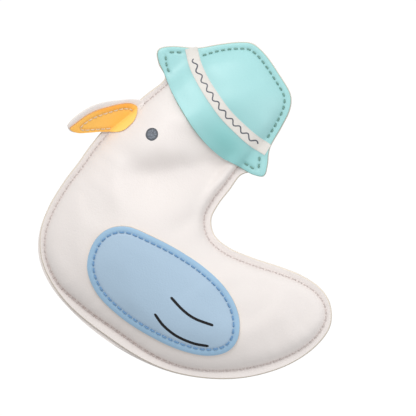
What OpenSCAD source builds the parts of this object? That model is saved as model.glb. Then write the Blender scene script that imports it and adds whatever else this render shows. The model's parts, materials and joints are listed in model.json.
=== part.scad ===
// Gull-shaped weighted dive toy: two soft sheet panels sewn together round the
// edge, a sun hat, a floppy beak, wing patches, filling and a sand pouch.
// Frame: +Z up when the belly is down, beak towards -X, broad front towards -Y,
// the two halves meet on the plane Y = 0, belly bottom on Z = 0.

/* [Body] */
// Swell of the filled body: height over the mid-plane is swell * distance^0.6
swell = 2.5; // [1.6:0.05:3]
// Height over the mid-plane of the flat land on each side of the belly
land = 16.0; // [10:0.1:22]
// Thickness of the sheet that every panel is cut from
sheet = 1.0; // [0.6:0.1:2]
// Distance from the cut edge to the row of stitches
stitch_in = 3.8; // [2.5:0.1:5]
// Distance from the cut edge to the foot of the filled swell
foot_in = 5.6; // [4.5:0.1:7]

/* [Thread] */
// Length from one stitch to the next round the edge
pitch = 3.5; // [2.5:0.1:5]
// Share of the pitch that shows as thread
show = 0.66; // [0.4:0.02:0.8]
// Thread diameter
thread = 0.6; // [0.4:0.05:1]

/* [Neck and beak] */
// Least gap each side of the neck crease
neck_gap = 0.8; // [0.5:0.1:2]
// Slope of each wall of the neck crease, as gap per height
neck_slope = 0.155; // [0.1:0.005:0.3]
// Angle that the beak is bent forwards out of the mid-plane
beak_bend = 32; // [0:1:55]
// Length of the beak past its crease, as a share of the drawn pattern
beak_long = 0.79; // [0.6:0.01:1.1]
// Gap from the beak crease to the moving beak
beak_gap = 3.0; // [1.5:0.1:4]

/* [Weight] */
// Radius of the round sand pouch inside its sewn rim
pouch_r = 27; // [20:1:30]
// Half thickness of the sand
pouch_half = 8.5; // [5:0.5:11]
// Width of the sewn rim of the pouch
pouch_rim = 3; // [2:0.5:5]
// Pouch cloth thickness
cloth = 0.4; // [0.2:0.1:0.8]

/* [Print] */
// Width and height radii of the printed eye
eye_radii = [3.3, 3.5]; // [2:0.1:6]
// Width of the printed feather lines
line_width = 1.2; // [0.8:0.1:2]
// Thickness of printed ink
ink = 0.06; // [0.04:0.01:0.2]

/* [Hidden] */

white = [0.93, 0.91, 0.89];
teal = [0.62, 0.9, 0.87];
orange = [1, 0.66, 0.32];
blue = [0.64, 0.76, 0.87];
dark = [0.2, 0.22, 0.26];
fluff = [0.95, 0.95, 0.93];
cloth_grey = [0.82, 0.82, 0.84];
sand = [0.82, 0.72, 0.52];
cream = [0.92, 0.9, 0.86];
eye_grey = [0.32, 0.35, 0.39];
hat_thread = [0.45, 0.68, 0.66];
wing_thread = [0.36, 0.5, 0.66];

swell_power = 0.6;
half_gap = 0.05;   // each panel stands this far off the mid-plane
lay = 0.4;         // air between one sheet and the next
lean = 0.5;        // how far a sheet stands out sideways at the foot of the swell
lay_lean = 0.2;    // sideways air between one sheet and the next
stitch_air = 0.1;  // air between a sheet and its thread
print_air = 0.06;  // air between a sheet and its ink
steps = 3;         // points to each span of a body, brim or wing outline

// ---- outlines, all as [x, z] ----
// Torso, from the nape down the back, round the tail, the belly and the breast, to the throat
torso_pts = [[4.6, 97.4], [3.2, 88], [3.8, 79.5], [9.6, 73], [19.7, 71], [33.2, 72.5], [47.2, 75.2],
  [59.2, 76.6], [70.2, 75.4], [78.4, 70.4], [83.2, 61], [81.7, 49], [75.7, 36.5], [66.7, 25.5],
  [54.7, 15.5], [39.7, 7.5], [22.7, 2], [4.7, 0], [-13.8, 1], [-32.3, 4.5], [-48.8, 10.5],
  [-61.3, 19.5], [-68.3, 31], [-70.8, 45], [-70.3, 60], [-68.6, 72]];
// Head under the hat, from the throat up the face, over the crown to the nape
head_pts = [[-67.5, 82], [-65.1, 94], [-60.3, 106], [-55.3, 119], [-50.8, 131], [-49.4, 136],
  [-47.8, 142], [-46.1, 147], [-43.3, 151.5], [-35.3, 159.5], [-26.8, 165.5], [-20.3, 168],
  [-11.8, 166], [-0.8, 160.5], [8.2, 155], [11.8, 148], [12.4, 138], [11.7, 127], [10.5, 121.5],
  [9.2, 116], [7.5, 111], [5.9, 106]];
// The same stations on the cut edge of the head panel, which backs the two brim tips
head_cut_pts = [[-67.5, 82], [-65.1, 94], [-60.3, 106], [-55.3, 119], [-50.8, 131], [-57.3, 136.3],
  [-61.1, 142], [-55.8, 147], [-44.3, 152.4], [-35.3, 159.5], [-26.8, 165.5], [-20.3, 168],
  [-11.8, 166], [-0.8, 160.5], [8.2, 155], [11.8, 148], [12.4, 138], [12.4, 126], [15.7, 117.5],
  [16.6, 111.8], [10.7, 109.6], [5.9, 106]];
throat = head_pts[0];
nape = torso_pts[0];
// Points that the panels spread from
torso_mid = [-18.8, 45];
head_mid = [-23.8, 122];

// ---- curves ----
// Point at share t of the smooth curve between two points, given their outer neighbours
function spline(before, from, to, after, t) = (2*from + t*(to - before)
  + t*t*(2*before - 5*from + 4*to - after) + t*t*t*(3*from - before - 3*to + after)) / 2;
// Closed smooth curve
function ring(pts, steps = steps) = let(count = len(pts))
  [for (i = [0 : count - 1]) for (j = [0 : steps - 1])
    spline(pts[(i + count - 1) % count], pts[i], pts[(i + 1) % count], pts[(i + 2) % count],
      j / steps)];
// Open smooth curve
function arc(pts, steps) = let(last = len(pts) - 1,
  ext = concat([2*pts[0] - pts[1]], pts, [2*pts[last] - pts[last-1]]))
  concat([for (i = [0 : last - 1]) for (j = [0 : steps - 1])
    spline(ext[i], ext[i+1], ext[i+2], ext[i+3], j / steps)], [pts[last]]);
function right_of(along) = [along[1], -along[0]] / norm(along);
// A closed loop moved to its right, which is inwards if it runs clockwise
function shift_loop(loop, distance) = let(count = len(loop)) [for (k = [0 : count - 1])
  loop[k] + distance * right_of(loop[(k + 1) % count] - loop[(k + count - 1) % count])];
// An open path moved to its right
function shift_path(path, distance) = let(last = len(path) - 1) [for (k = [0 : last])
  path[k] + distance * right_of(path[min(k + 1, last)] - path[max(k - 1, 0)])];
function slice(list, first, last) = [for (i = [first : last]) list[i]];
function reversed(list) = [for (i = [len(list) - 1 : -1 : 0]) list[i]];
function every_other(list) = [for (i = [0 : 2 : len(list) - 1]) list[i]];

body = ring(concat(torso_pts, head_pts));
cut = ring(concat(torso_pts, head_cut_pts));
foot = shift_loop(body, foot_in);
// Index in these loops of a station of head_pts
function head_index(station) = (len(torso_pts) + station) * steps;
i_throat = head_index(0);
i_end = head_index(len(head_pts));

// ---- swell ----
function turn(a, b) = a[0]*b[1] - a[1]*b[0];
function total(list, i = 0, sum = 0) = i == len(list) ? sum : total(list, i + 1, sum + list[i]);
// One edge's share of the field whose inverse root is a smooth distance to the foot line
function pull(point, a, b) = let(size = norm(b - a), along = (b - a) / size,
  start = (a - point) * along, end = start + size,
  off = turn(a - point, along), off_sq = max(off*off, 0.0004))
  (end / sqrt(off_sq + end*end) - start / sqrt(off_sq + start*start)) / off_sq;
// Whether an upright line through the plan crosses foot an odd number of times beyond the point
function within(point) = let(count = len(foot)) total([for (k = [0 : count - 1])
  let(a = foot[k], b = foot[(k + 1) % count])
  ((a[1] > point[1]) != (b[1] > point[1])
    && point[0] < (b[0]-a[0])*(point[1]-a[1])/(b[1]-a[1]) + a[0]) ? 1 : 0]) % 2 == 1;
// Smooth distance from the foot line, negative outside it
function reach(point) = let(count = len(foot), distance = sqrt(2 / total(
  [for (k = [0 : count - 1]) pull(point, foot[k], foot[(k + 1) % count])])))
  within(point) ? distance : -distance;
function rise(distance, out) = distance + out <= 0 ? 0
  : min(land, swell * pow(distance + out, swell_power));
// Height over the mid-plane of the underside (0) or top (1) of a sheet layer
function level(point, layer, top) = half_gap + layer * (sheet + lay) + top * sheet
  + rise(reach(point), layer * (lean + lay_lean) + top * lean);
// Plan points stood on the front face of a layer, with more air under them
function lift(pts, layer, top, air = 0) =
  [for (p = pts) [p[0], -level(p, layer, top) - air, p[1]]];

// ---- solids from surfaces ----
// The faces of an underside, turned over for the top, whose points start at count
function flipped(faces, count) = [for (f = faces) [f[0], f[2], f[1]] + count * [1, 1, 1]];
// A star-shaped solid between low and high: a middle point, then rings of size points
module star(low, high, size) {
  count = len(low);
  rings = (count - 1) / size;
  under = concat(
    [for (k = [0 : size-1]) [0, 1 + k, 1 + (k+1) % size]],
    [for (r = [0 : rings-2]) for (k = [0 : size-1])
      let(a = 1 + r*size + k, b = 1 + r*size + (k+1) % size)
      each [[a, a + size, b], [b, a + size, b + size]]]);
  rim = [for (k = [0 : size-1])
    let(a = 1 + (rings-1)*size + k, b = 1 + (rings-1)*size + (k+1) % size)
    each [[a, count + a, b], [b, count + a, count + b]]];
  polyhedron(points = concat(low, high), convexity = 6,
    faces = concat(under, flipped(under, count), rim));
}
// A strip solid between low and high, in rows of three points
module strip(low, high) {
  wide = 3;
  count = len(low);
  rows = count / wide;
  under = [for (r = [0 : rows-2]) for (w = [0 : wide-2]) let(a = r*wide + w)
    each [[a, a + 1, a + wide], [a + 1, a + wide + 1, a + wide]]];
  sides = [for (r = [0 : rows-2]) let(a = r*wide, b = a + wide - 1) each [
    [a, a + wide, count + a], [a + wide, count + a + wide, count + a],
    [b, count + b, b + wide], [b + wide, count + b, count + b + wide]]];
  ends = [for (w = [0 : wide-2]) let(a = w, b = (rows-1)*wide + w) each [
    [a, count + a, a + 1], [a + 1, count + a, count + a + 1],
    [b, b + 1, count + b], [b + 1, count + b + 1, count + b]]];
  polyhedron(points = concat(low, high), convexity = 6,
    faces = concat(under, flipped(under, count), sides, ends));
}
// Plan points: the middle, rings at shares ins of the inner loop,
// then rings at shares outs of the way to the outer loop
function plan(mid, inner, ins, outer = [], outs = []) = concat([mid],
  [for (share = ins) for (p = inner) mid + (p - mid) * share],
  [for (share = outs) for (k = [0 : len(inner) - 1]) inner[k] + (outer[k] - inner[k]) * share]);
// Plan points three across along a line
function ribbon(line, width) = let(right = shift_path(line, width / 2),
  left = shift_path(line, -width / 2))
  [for (k = [0 : len(line) - 1]) each [right[k], line[k], left[k]]];
module laid_sheet(pts, size, layer, air = 0)
  star(lift(pts, layer, 0, air), lift(pts, layer, 1, air), size);
module other_side() { mirror([0, 1, 0]) children(); }
module both() { children(); mirror([0, 1, 0]) children(); }

// ---- the two parts, divided by the neck crease ----
// Share of the ray from mid along ray that reaches edge a-b, or a huge number for a miss
function hit(mid, ray, a, b) = let(edge = b - a, to_a = a - mid, slant = turn(ray, edge))
  abs(slant) < 1e-9 ? 1e9 : let(share = turn(to_a, edge) / slant, place = turn(to_a, ray) / slant)
  place > -1e-6 && place < 1 + 1e-6 && share > 1e-3 ? share : 1e9;
function cast(mid, ray, loop) = let(count = len(loop))
  min([for (k = [0 : count - 1]) hit(mid, ray, loop[k], loop[(k + 1) % count])]);
// The point pulled towards mid, to most of the way out or to the loop if that is nearer
function pulled_in(mid, point, loop, most) =
  mid + (point - mid) * min(most, cast(mid, point - mid, loop));

torso = -1;  // the side of the crease that each part lies on
head = 1;
function mid_of(part) = part == torso ? torso_mid : head_mid;
// The first and last body index of a part, as bounds
function bounds(part) = part == torso ? [0, i_throat] : [i_throat, i_end];
neck_along = (nape - throat) / norm(nape - throat);
neck_up = [-neck_along[1], neck_along[0]];
// Stations of the crease wall, as shares of the way from throat to nape
wall_shares = [0.066, 0.1, 0.145, 0.21, 0.29, 0.38, 0.47, 0.56, 0.65, 0.74, 0.82, 0.875, 0.91,
  0.936];
// Wall of the crease, leaning back with the height of the body, in the order of the part's loop
function wall(part, more = 0) = [for (share = part == torso ? wall_shares : reversed(wall_shares))
  let(point = throat + (nape - throat) * share)
  point + part * neck_up * (neck_gap + more + neck_slope * rise(reach(point), lean))];
// The two corners where the sewn edge starts and ends at the crease
function corners(part, more = 0) = [for (p = part == torso ? [nape, throat] : [throat, nape])
  p + part * neck_up * (neck_gap + more)];
// Whether b lies clearly clockwise of a, seen from mid
function ahead(mid, a, b) = turn(a - mid, b - mid) < -norm(a - mid) * norm(b - mid) * 0.012;
// Body indices whose points on both loops lie between the two corners
function kept(part, ends, inner) = let(mid = mid_of(part), span = bounds(part))
  [for (i = [span[0] + 1 : span[1] - 1])
    let(k = i % len(inner), in = inner[k], out = cut[k])
    if (i < (span[0] + span[1]) / 2
      ? ahead(mid, ends[0], in) && ahead(mid, ends[0], out)
      : ahead(mid, in, ends[1]) && ahead(mid, out, ends[1])) k];
// Loop at the foot of the swell, closed behind the crease wall at share wall_most
function inner_loop(part, inner, wall_most, corner_more = 0, wall_more = 0) =
  let(mid = mid_of(part), ends = corners(part, corner_more)) concat(
    [pulled_in(mid, ends[0], inner, 0.97)],
    [for (k = kept(part, ends, inner)) inner[k]],
    [pulled_in(mid, ends[1], inner, 0.97)],
    [for (p = wall(part, wall_more)) pulled_in(mid, p, inner, wall_most)]);
// Loop of the cut edge, closed along the crease wall
function outer_loop(part) = let(ends = corners(part))
  concat([ends[0]], [for (k = kept(part, ends, foot)) cut[k]], [ends[1]], wall(part));

module panel(part, wall_most, ins) {
  inner = inner_loop(part, foot, wall_most);
  laid_sheet(plan(mid_of(part), inner, ins, outer_loop(part), [0.14, 1]), len(inner), layer = 0);
}
module torso_front_panel() color(white) panel(torso, 0.93, [0.3, 0.58, 0.78, 0.91, 0.975, 1]);
module torso_rear_panel() other_side() torso_front_panel();
module head_front_panel() color(white) panel(head, 0.9, [0.42, 0.74, 0.92, 1]);
module head_rear_panel() other_side() head_front_panel();

// ---- filling ----
fill_share = 0.93;     // height of the filling as a share of the swell
fill_drop = 1;         // taken off the swell before that share
fill_least = 0.6;      // least height of the filling
fill_thick = 0.4;      // least thickness of a torso half
pouch_room = 0.9;      // air over the cloth at the pouch rim
pouch_cap_room = 2.4;  // air over the cloth on the pouch cap
pouch_side_room = 4;   // air round the pouch rim
pouch_mid = [-8.8, 40];
fill_foot = shift_loop(foot, 1.2);
function fill_loop(part) = every_other(
  inner_loop(part, fill_foot, wall_most = 0.985, corner_more = 1.2, wall_more = 0.9));
function fill_top(point) = max(fill_least,
  half_gap + fill_share * (rise(reach(point), 0) - fill_drop));
// Underside of the torso filling, hollowed over the pouch
function pouch_top(point) = let(radius = norm(point - pouch_mid))
  radius > pouch_r + pouch_rim + pouch_side_room ? 0.1 :
  radius > pouch_r ? cloth + pouch_room :
  max(cloth + pouch_room, cap_height(radius) + cloth + pouch_cap_room);
module torso_filling_front() color(fluff) {
  loop = fill_loop(torso);
  pts = plan(torso_mid, loop, [0.18, 0.36, 0.54, 0.72, 0.86, 1]);
  star([for (p = pts) [p[0], -min(pouch_top(p), fill_top(p) - fill_thick), p[1]]],
    [for (p = pts) [p[0], -fill_top(p), p[1]]], len(loop));
}
module torso_filling_rear() other_side() torso_filling_front();
module head_filling() color(fluff) {
  loop = fill_loop(head);
  pts = plan(head_mid, loop, [0.35, 0.65, 0.86, 1]);
  star([for (p = pts) [p[0], fill_top(p), p[1]]],
    [for (p = pts) [p[0], -fill_top(p), p[1]]], len(loop));
}

// ---- sand pouch ----
cap_steps = 14;
rim_z = 0.04;           // underside of the pouch rim over the mid-plane
cap_z = 0.12;           // lift of the cloth off the sand
pouch_stitches = 36;
pouch_thread = 0.4;
pouch_stitch_long = 1.8;
// Profile of the sand: a shallow spherical cap of height pouch_half over radius pouch_r
sphere_r = (pouch_r*pouch_r + pouch_half*pouch_half) / (2*pouch_half);
function cap_height(radius) = sqrt(sphere_r*sphere_r - radius*radius) - (sphere_r - pouch_half);
function cap_line(end, base) = [for (i = [0 : cap_steps])
  let(radius = end * i / cap_steps) [radius, base + cap_height(min(radius, pouch_r))]];
// Turns local Z towards the front
module at_pouch() translate([pouch_mid[0], 0, pouch_mid[1]]) rotate([90, 0, 0]) children();
module pouch_front() color(cloth_grey) at_pouch() rotate_extrude($fn = 96)
  polygon(concat(cap_line(pouch_r - 0.4, cap_z),
    [[pouch_r - 0.4, rim_z], [pouch_r + pouch_rim, rim_z],
      [pouch_r + pouch_rim, rim_z + cloth], [pouch_r, rim_z + cloth]],
    reversed(cap_line(pouch_r - 0.6, cap_z + cloth))));
module pouch_rear() other_side() pouch_front();
module sand_fill() color(sand) at_pouch() rotate_extrude($fn = 96) {
  top = cap_line(pouch_r - 1.2, 0);
  polygon(concat(top, reversed([for (p = top) [p[0], -p[1]]])));
}
module pouch_stitching() color(white) at_pouch()
  for (i = [0 : pouch_stitches - 1]) rotate([0, 0, i * 360 / pouch_stitches])
    for (side = [-1, 1])
      translate([pouch_r + pouch_rim / 2 + 0.2, -pouch_stitch_long / 2,
        side * (rim_z + cloth + 0.24)])
        rotate([-90, 0, 0]) cylinder(d = pouch_thread, h = pouch_stitch_long, $fn = 6);

// ---- stitches ----
module rod(from, to, diameter) {
  along = to - from;
  size = norm(along);
  translate(from) rotate([0, acos(along[2] / size), atan2(along[1], along[0])])
    cylinder(d = diameter, h = size, $fn = 6);
}
// Distance along the path to each of its points
function run(path) = [for (i = 0, sum = 0; i < len(path);
  sum = sum + (i + 1 < len(path) ? norm(path[i+1] - path[i]) : 0), i = i + 1) sum];
function point_at(path, dist, want) = [for (axis = [0, 1])
  lookup(want, [for (i = [0 : len(path) - 1]) [dist[i], path[i][axis]]])];
// The two ends of every stitch along a path
function stitches(path, start = 0, step = pitch) = let(dist = run(path),
  count = floor((dist[len(dist) - 1] - start) / step))
  [for (i = [0 : count - 1]) [for (end = [-1, 1])
    point_at(path, dist, start + step * (i + (1 + end * show) / 2))]];
// A row of stitches along a plan path, resting on the top of a sheet layer
module row(path, layer, start = 0, step = pitch, air = stitch_air, diameter = thread)
  for (stitch = stitches(path, start, step)) {
    ends = lift(stitch, layer, 1, diameter / 2 + air);
    rod(ends[0], ends[1], diameter);
  }

// The end of a row is moved this far off the neck crease
row_end = neck_up * 1.6;
edge_path = shift_loop(body, stitch_in);
torso_path = concat([edge_path[0] - row_end], slice(edge_path, 1, i_throat - 1),
  [edge_path[i_throat] - row_end]);
throat_path = concat([edge_path[i_throat] + row_end],
  slice(edge_path, i_throat + 1, head_index(1)));
brow_path = slice(edge_path, head_index(2) + 4, head_index(4) - 1);
nape_path = concat(slice(edge_path, i_end - steps - 1, i_end - 1), [edge_path[0] + row_end]);
module torso_edge_stitching() color(white) both() row(torso_path, 0);
module head_edge_stitching() color(white) both() {
  row(throat_path, 0, air = 0.3);
  row(brow_path, 0, air = 0.3);
  row(nape_path, 0, air = 0.8);
}

// ---- wings ----
wing_pts = [[-42.3, 39], [-39.8, 49], [-31.8, 55.5], [-18.8, 57.3], [-1.8, 57.6], [14.2, 56],
  [28.2, 52], [39.2, 44.5], [45.2, 34], [43.7, 25], [35.2, 18], [21.2, 14], [3.2, 13],
  [-13.8, 14.5], [-28.8, 19], [-38.8, 27.5]];
wing_mid = [1.2, 36];
wing_air = 0.35;   // more air under the wing patch
wing_stitch_in = 3.1;
// Centre lines of the printed feathers
feathers = [[[5.2, 35], [13.2, 32.5], [21.2, 31.6], [31.2, 33]],
  [[2.2, 24], [9.2, 21], [17.7, 19.6], [26.7, 20.5], [34.2, 23]]];
wing_edge = ring(wing_pts);
wing_row = let(loop = shift_loop(wing_edge, wing_stitch_in)) concat(loop, [loop[0]]);
module wing_front() color(blue)
  laid_sheet(plan(wing_mid, wing_edge, [0.3, 0.56, 0.76, 0.9, 1]), len(wing_edge),
    layer = 1, air = wing_air);
module wing_rear() other_side() wing_front();
module wing_front_stitching() color(wing_thread)
  row(wing_row, 1, step = 3.02, air = 0.12 + wing_air, diameter = 0.5);
module wing_rear_stitching() other_side() wing_front_stitching();
module wing_front_print() color(dark) for (line = feathers) {
  pts = ribbon(arc(line, 5), line_width);
  air = wing_air + print_air;
  strip(lift(pts, 1, 1, air), lift(pts, 1, 1, air + ink));
}
module wing_rear_print() other_side() wing_front_print();

// ---- eye ----
eye_mid = [-43.3, 103];
eye_sides = 28;
module eye_front() color(eye_grey) {
  edge = [for (k = [0 : eye_sides - 1]) let(angle = k * 360 / eye_sides)
    eye_mid + [eye_radii[0] * sin(angle), eye_radii[1] * cos(angle)]];
  pts = plan(eye_mid, edge, [0.5, 1]);
  star(lift(pts, 0, 1, print_air), lift(pts, 0, 1, print_air + ink), eye_sides);
}
module eye_rear() other_side() eye_front();

// ---- hat ----
hat_mid = [-18.8, 139];
// Lower edge of the brim, from the back tip to the front tip
brim_pts = [[10.7, 110], [3.2, 110.3], [-5.8, 110.7], [-15.8, 112.3], [-25.8, 115.8], [-35.8, 121],
  [-45.3, 127.5], [-51.8, 132.5], [-56.8, 136.6]];
// Centre line of the hat band, from the front of the brim to the back
band_pts = [[-47.4, 151.4], [-41.3, 145], [-33.3, 139], [-24.3, 134], [-15.3, 130],
  [-5.8, 127.2], [3.2, 125.3], [12.4, 124.6]];
band_width = 6.3;
band_air = 1.5;    // more air under the band, which bridges the foot of the swell
hat_in = 0.35;     // from the cut edge of the head panel to that of the hat
brim = arc(brim_pts, steps);
hat_cut = concat(slice(shift_loop(cut, hat_in), head_index(5), head_index(20) - 1),
  slice(brim, 0, len(brim) - 2));
hat_foot = [for (p = hat_cut) pulled_in(hat_mid, p, foot, 0.92)];
module hat_front() color(teal)
  laid_sheet(plan(hat_mid, hat_foot, [0.3, 0.56, 0.76, 0.9, 1], hat_cut, [0.27, 1]),
    len(hat_foot), layer = 1);
module hat_rear() other_side() hat_front();
module hat_band_front() color(cream) {
  pts = ribbon(arc(band_pts, 6), band_width);
  strip(lift(pts, 2, 0, band_air), lift(pts, 2, 1, band_air));
}
module hat_band_rear() other_side() hat_band_front();

crown_path = slice(shift_loop(body, 3.5), head_index(8) + 1, head_index(17) - 1);
// Short rows under and over the front tip, then over and under the back tip
tip_rows = [[[-50.6, 134.6], [-53.4, 137.6], [-56.4, 141.8]],
  [[-55.4, 143.9], [-51.6, 145.7], [-48.4, 147.4]],
  [[9.4, 119.6], [11.4, 115.8], [12.1, 113.7]],
  [[10.8, 112.9], [7.2, 113.3], [4.8, 113.4]]];
module hat_edge_stitching() color(hat_thread) both() {
  for (pts = tip_rows) row(arc(pts, 6), 1, air = 0.3);
  row(crown_path, 1, start = 0.6, air = 0.5);
}

// ---- beak ----
// The part of the orange piece that lies on the cheek
root_pts = [[-56.3, 111], [-55, 107.5], [-55, 103], [-56.6, 99], [-59.4, 96.4], [-63, 95.4],
  [-61.4, 99.5], [-59.4, 104.5], [-57.6, 109]];
root_mid = [-58.1, 102.8];
root_edge = ring(root_pts, 2);
module beak_root_front() color(orange)
  laid_sheet(plan(root_mid, root_edge, [0.5, 0.8, 1]), len(root_edge), layer = 1);
module beak_root_rear() other_side() beak_root_front();

// The beak crease is a line along the face, through beak_mid in the direction beak_up.
beak_mid = [-61.9, 102.9];
beak_up = [0.365, 0.931];
// The moving beak laid flat, as [up the face, outwards from the crease]
beak_pts = [[9.4, 3.4], [7.6, 7], [4, 10.6], [-1.4, 14.4], [-7.2, 17.8], [-13.4, 19.6], [-19.5, 20],
  [-23.6, 18.8], [-23, 14.4], [-17.4, 8.6], [-12.6, 3]];
// Its row of stitches, in the same columns
beak_row_pts = [[6, 5.8], [2.6, 8.2], [-3, 11.4], [-8.4, 14.4], [-14, 15.8], [-18.6, 15.8],
  [-18.8, 13.6], [-14.6, 9.4], [-10.6, 6.2]];
beak_z = half_gap + sheet + 0.1;   // inner face of each orange sheet, with air on the lining
function shortened(pts) = [for (p = pts) [p[0], p[1] * beak_long]];
beak_edge = ring(shortened(beak_pts), 4);
// This loop runs anticlockwise, so moving it right makes the lining larger.
lining_edge = shift_loop(beak_edge, 0.7);
// Local X outwards from the crease, Y up the face, Z towards the front,
// then turned forwards about the crease
module beak_frame() translate([beak_mid[0], 0, beak_mid[1]])
  multmatrix([[-beak_up[1], beak_up[0], 0, 0], [0, 0, -1, 0],
    [beak_up[0], beak_up[1], 0, 0], [0, 0, 0, 1]])
    rotate([0, -beak_bend, 0]) children();
module beak_sheet(edge, z) beak_frame() translate([0, 0, z])
  linear_extrude(height = sheet) polygon([for (p = edge) [max(beak_gap, p[1]), p[0]]]);
module beak_front() color(orange) beak_sheet(beak_edge, beak_z);
module beak_rear() color(orange) beak_sheet(beak_edge, -beak_z - sheet);
module beak_lining_front() color(white) beak_sheet(lining_edge, half_gap);
module beak_lining_rear() color(white) beak_sheet(lining_edge, -half_gap - sheet);
module beak_stitching() color(white) beak_frame()
  for (side = [-1, 1]) for (stitch = stitches(arc(shortened(beak_row_pts), 4))) {
    z = side * (beak_z + sheet + thread / 2 + stitch_air);
    ends = [for (p = stitch) [p[1], p[0], z]];
    rod(ends[0], ends[1], thread);
  }

torso_front_panel();
torso_rear_panel();
torso_filling_front();
torso_filling_rear();
pouch_front();
pouch_rear();
sand_fill();
pouch_stitching();
torso_edge_stitching();
wing_front();
wing_rear();
wing_front_stitching();
wing_rear_stitching();
wing_front_print();
wing_rear_print();
head_front_panel();
head_rear_panel();
head_filling();
eye_front();
eye_rear();
hat_front();
hat_rear();
hat_band_front();
hat_band_rear();
hat_edge_stitching();
head_edge_stitching();
beak_root_front();
beak_root_rear();
beak_front();
beak_rear();
beak_lining_front();
beak_lining_rear();
beak_stitching();
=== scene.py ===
# A flat stuffed bird with a hat, two wings, a flexing beak and a sand pouch inside.
# It is drawn in plan on X (beak towards -X, tail towards +X) and Z (up), and its thickness
# runs along Y: the front faces -Y and the rear +Y. Lengths are in mm until a mesh is made.
import json
import math

import bpy
import numpy as np
from mathutils import Matrix, Vector
from mathutils.geometry import delaunay_2d_cdt


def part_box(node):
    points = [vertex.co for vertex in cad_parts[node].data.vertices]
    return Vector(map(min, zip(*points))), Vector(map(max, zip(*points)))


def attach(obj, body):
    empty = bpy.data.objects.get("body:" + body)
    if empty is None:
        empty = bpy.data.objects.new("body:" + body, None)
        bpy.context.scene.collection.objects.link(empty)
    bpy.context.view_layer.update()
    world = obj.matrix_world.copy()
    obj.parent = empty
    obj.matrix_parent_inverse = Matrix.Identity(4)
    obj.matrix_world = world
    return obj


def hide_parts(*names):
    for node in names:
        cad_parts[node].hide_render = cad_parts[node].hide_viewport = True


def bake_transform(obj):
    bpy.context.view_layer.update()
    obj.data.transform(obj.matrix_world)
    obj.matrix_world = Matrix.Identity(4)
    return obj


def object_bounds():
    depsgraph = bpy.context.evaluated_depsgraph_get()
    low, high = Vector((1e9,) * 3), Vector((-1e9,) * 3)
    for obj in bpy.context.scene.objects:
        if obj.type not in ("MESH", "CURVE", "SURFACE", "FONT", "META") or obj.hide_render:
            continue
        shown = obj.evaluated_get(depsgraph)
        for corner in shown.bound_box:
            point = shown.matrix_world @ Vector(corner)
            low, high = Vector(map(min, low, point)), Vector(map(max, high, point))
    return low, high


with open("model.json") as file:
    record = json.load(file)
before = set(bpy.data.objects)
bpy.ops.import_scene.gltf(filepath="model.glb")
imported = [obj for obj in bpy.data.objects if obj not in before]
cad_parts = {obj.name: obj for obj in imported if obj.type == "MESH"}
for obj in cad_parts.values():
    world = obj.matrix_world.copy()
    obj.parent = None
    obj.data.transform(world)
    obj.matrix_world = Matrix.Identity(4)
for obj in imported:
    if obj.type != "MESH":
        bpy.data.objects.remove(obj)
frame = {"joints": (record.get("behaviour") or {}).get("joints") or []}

CAD_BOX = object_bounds()
JOINTS = {joint["name"]: joint for joint in frame["joints"]}
MM = 0.001
SIDES = ((1, "front"), (-1, "rear"))

# ------------------------------------------------------------------ plan curves
# Stations [x, z] in mm. TORSO and then HEAD run clockwise round the body.
TORSO = [[3.4, 97.4], [2, 88], [2.6, 79.5], [8.4, 73], [18.5, 71], [32, 72.5], [46, 75.2], [58, 76.6],
         [69, 75.4], [77.2, 70.4], [82, 61], [80.5, 49], [74.5, 36.5], [65.5, 25.5], [53.5, 15.5],
         [38.5, 7.5], [21.5, 2], [3.5, 0], [-15, 1], [-33.5, 4.5], [-50, 10.5], [-62.5, 19.5],
         [-69.5, 31], [-72, 45], [-71.5, 60], [-69.8, 72]]
HEAD = [[-68.7, 82], [-66.3, 94], [-61.5, 106], [-56.5, 119], [-52, 131], [-50.6, 136], [-49, 142],
        [-47.3, 147], [-44.5, 151.5], [-36.5, 159.5], [-28, 165.5], [-21.5, 168], [-13, 166],
        [-2, 160.5], [7, 155], [10.6, 148], [11.2, 138], [10.5, 127], [9.3, 121.5], [8, 116],
        [6.3, 111], [4.7, 106]]
# The cut edge follows the head but runs out to the two tips of the hat brim.
HEAD_CUT = (HEAD[:5] + [[-58.5, 136.3], [-62.3, 142], [-57, 147], [-45.5, 152.4]]
            + HEAD[9:17] + [[11.2, 126], [14.5, 117.5], [15.4, 111.8], [9.5, 109.6]] + HEAD[-1:])
HAT_FIRST, HAT_LAST = 5, 20           # stations of HEAD_CUT where the hat's free edge starts and ends
BRIM = [[9.5, 110], [2, 110.3], [-7, 110.7], [-17, 112.3], [-27, 115.8], [-37, 121], [-46.5, 127.5],
        [-53, 132.5], [-58, 136.6]]
BAND = [[-48.6, 151.4], [-42.5, 145], [-34.5, 139], [-25.5, 134], [-16.5, 130], [-7, 127.2],
        [2, 125.3], [11.2, 124.6]]
WING = [[-43.5, 39], [-41, 49], [-33, 55.5], [-20, 57.3], [-3, 57.6], [13, 56], [27, 52], [38, 44.5],
        [44, 34], [42.5, 25], [34, 18], [20, 14], [2, 13], [-15, 14.5], [-30, 19], [-40, 27.5]]
FEATHERS = ([[4, 35], [12, 32.5], [20, 31.6], [30, 33]],
            [[1, 24], [8, 21], [16.5, 19.6], [25.5, 20.5], [33, 23]])
STITCH_IN = 3.8       # edge stitches, inwards from the body outline
FOOT_IN = 4.6         # foot of the swell, inwards from the body outline
EDGE_PITCH = 3.5
BAND_WIDTH = 6.3
SHEET_THICK = 0.95


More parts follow.
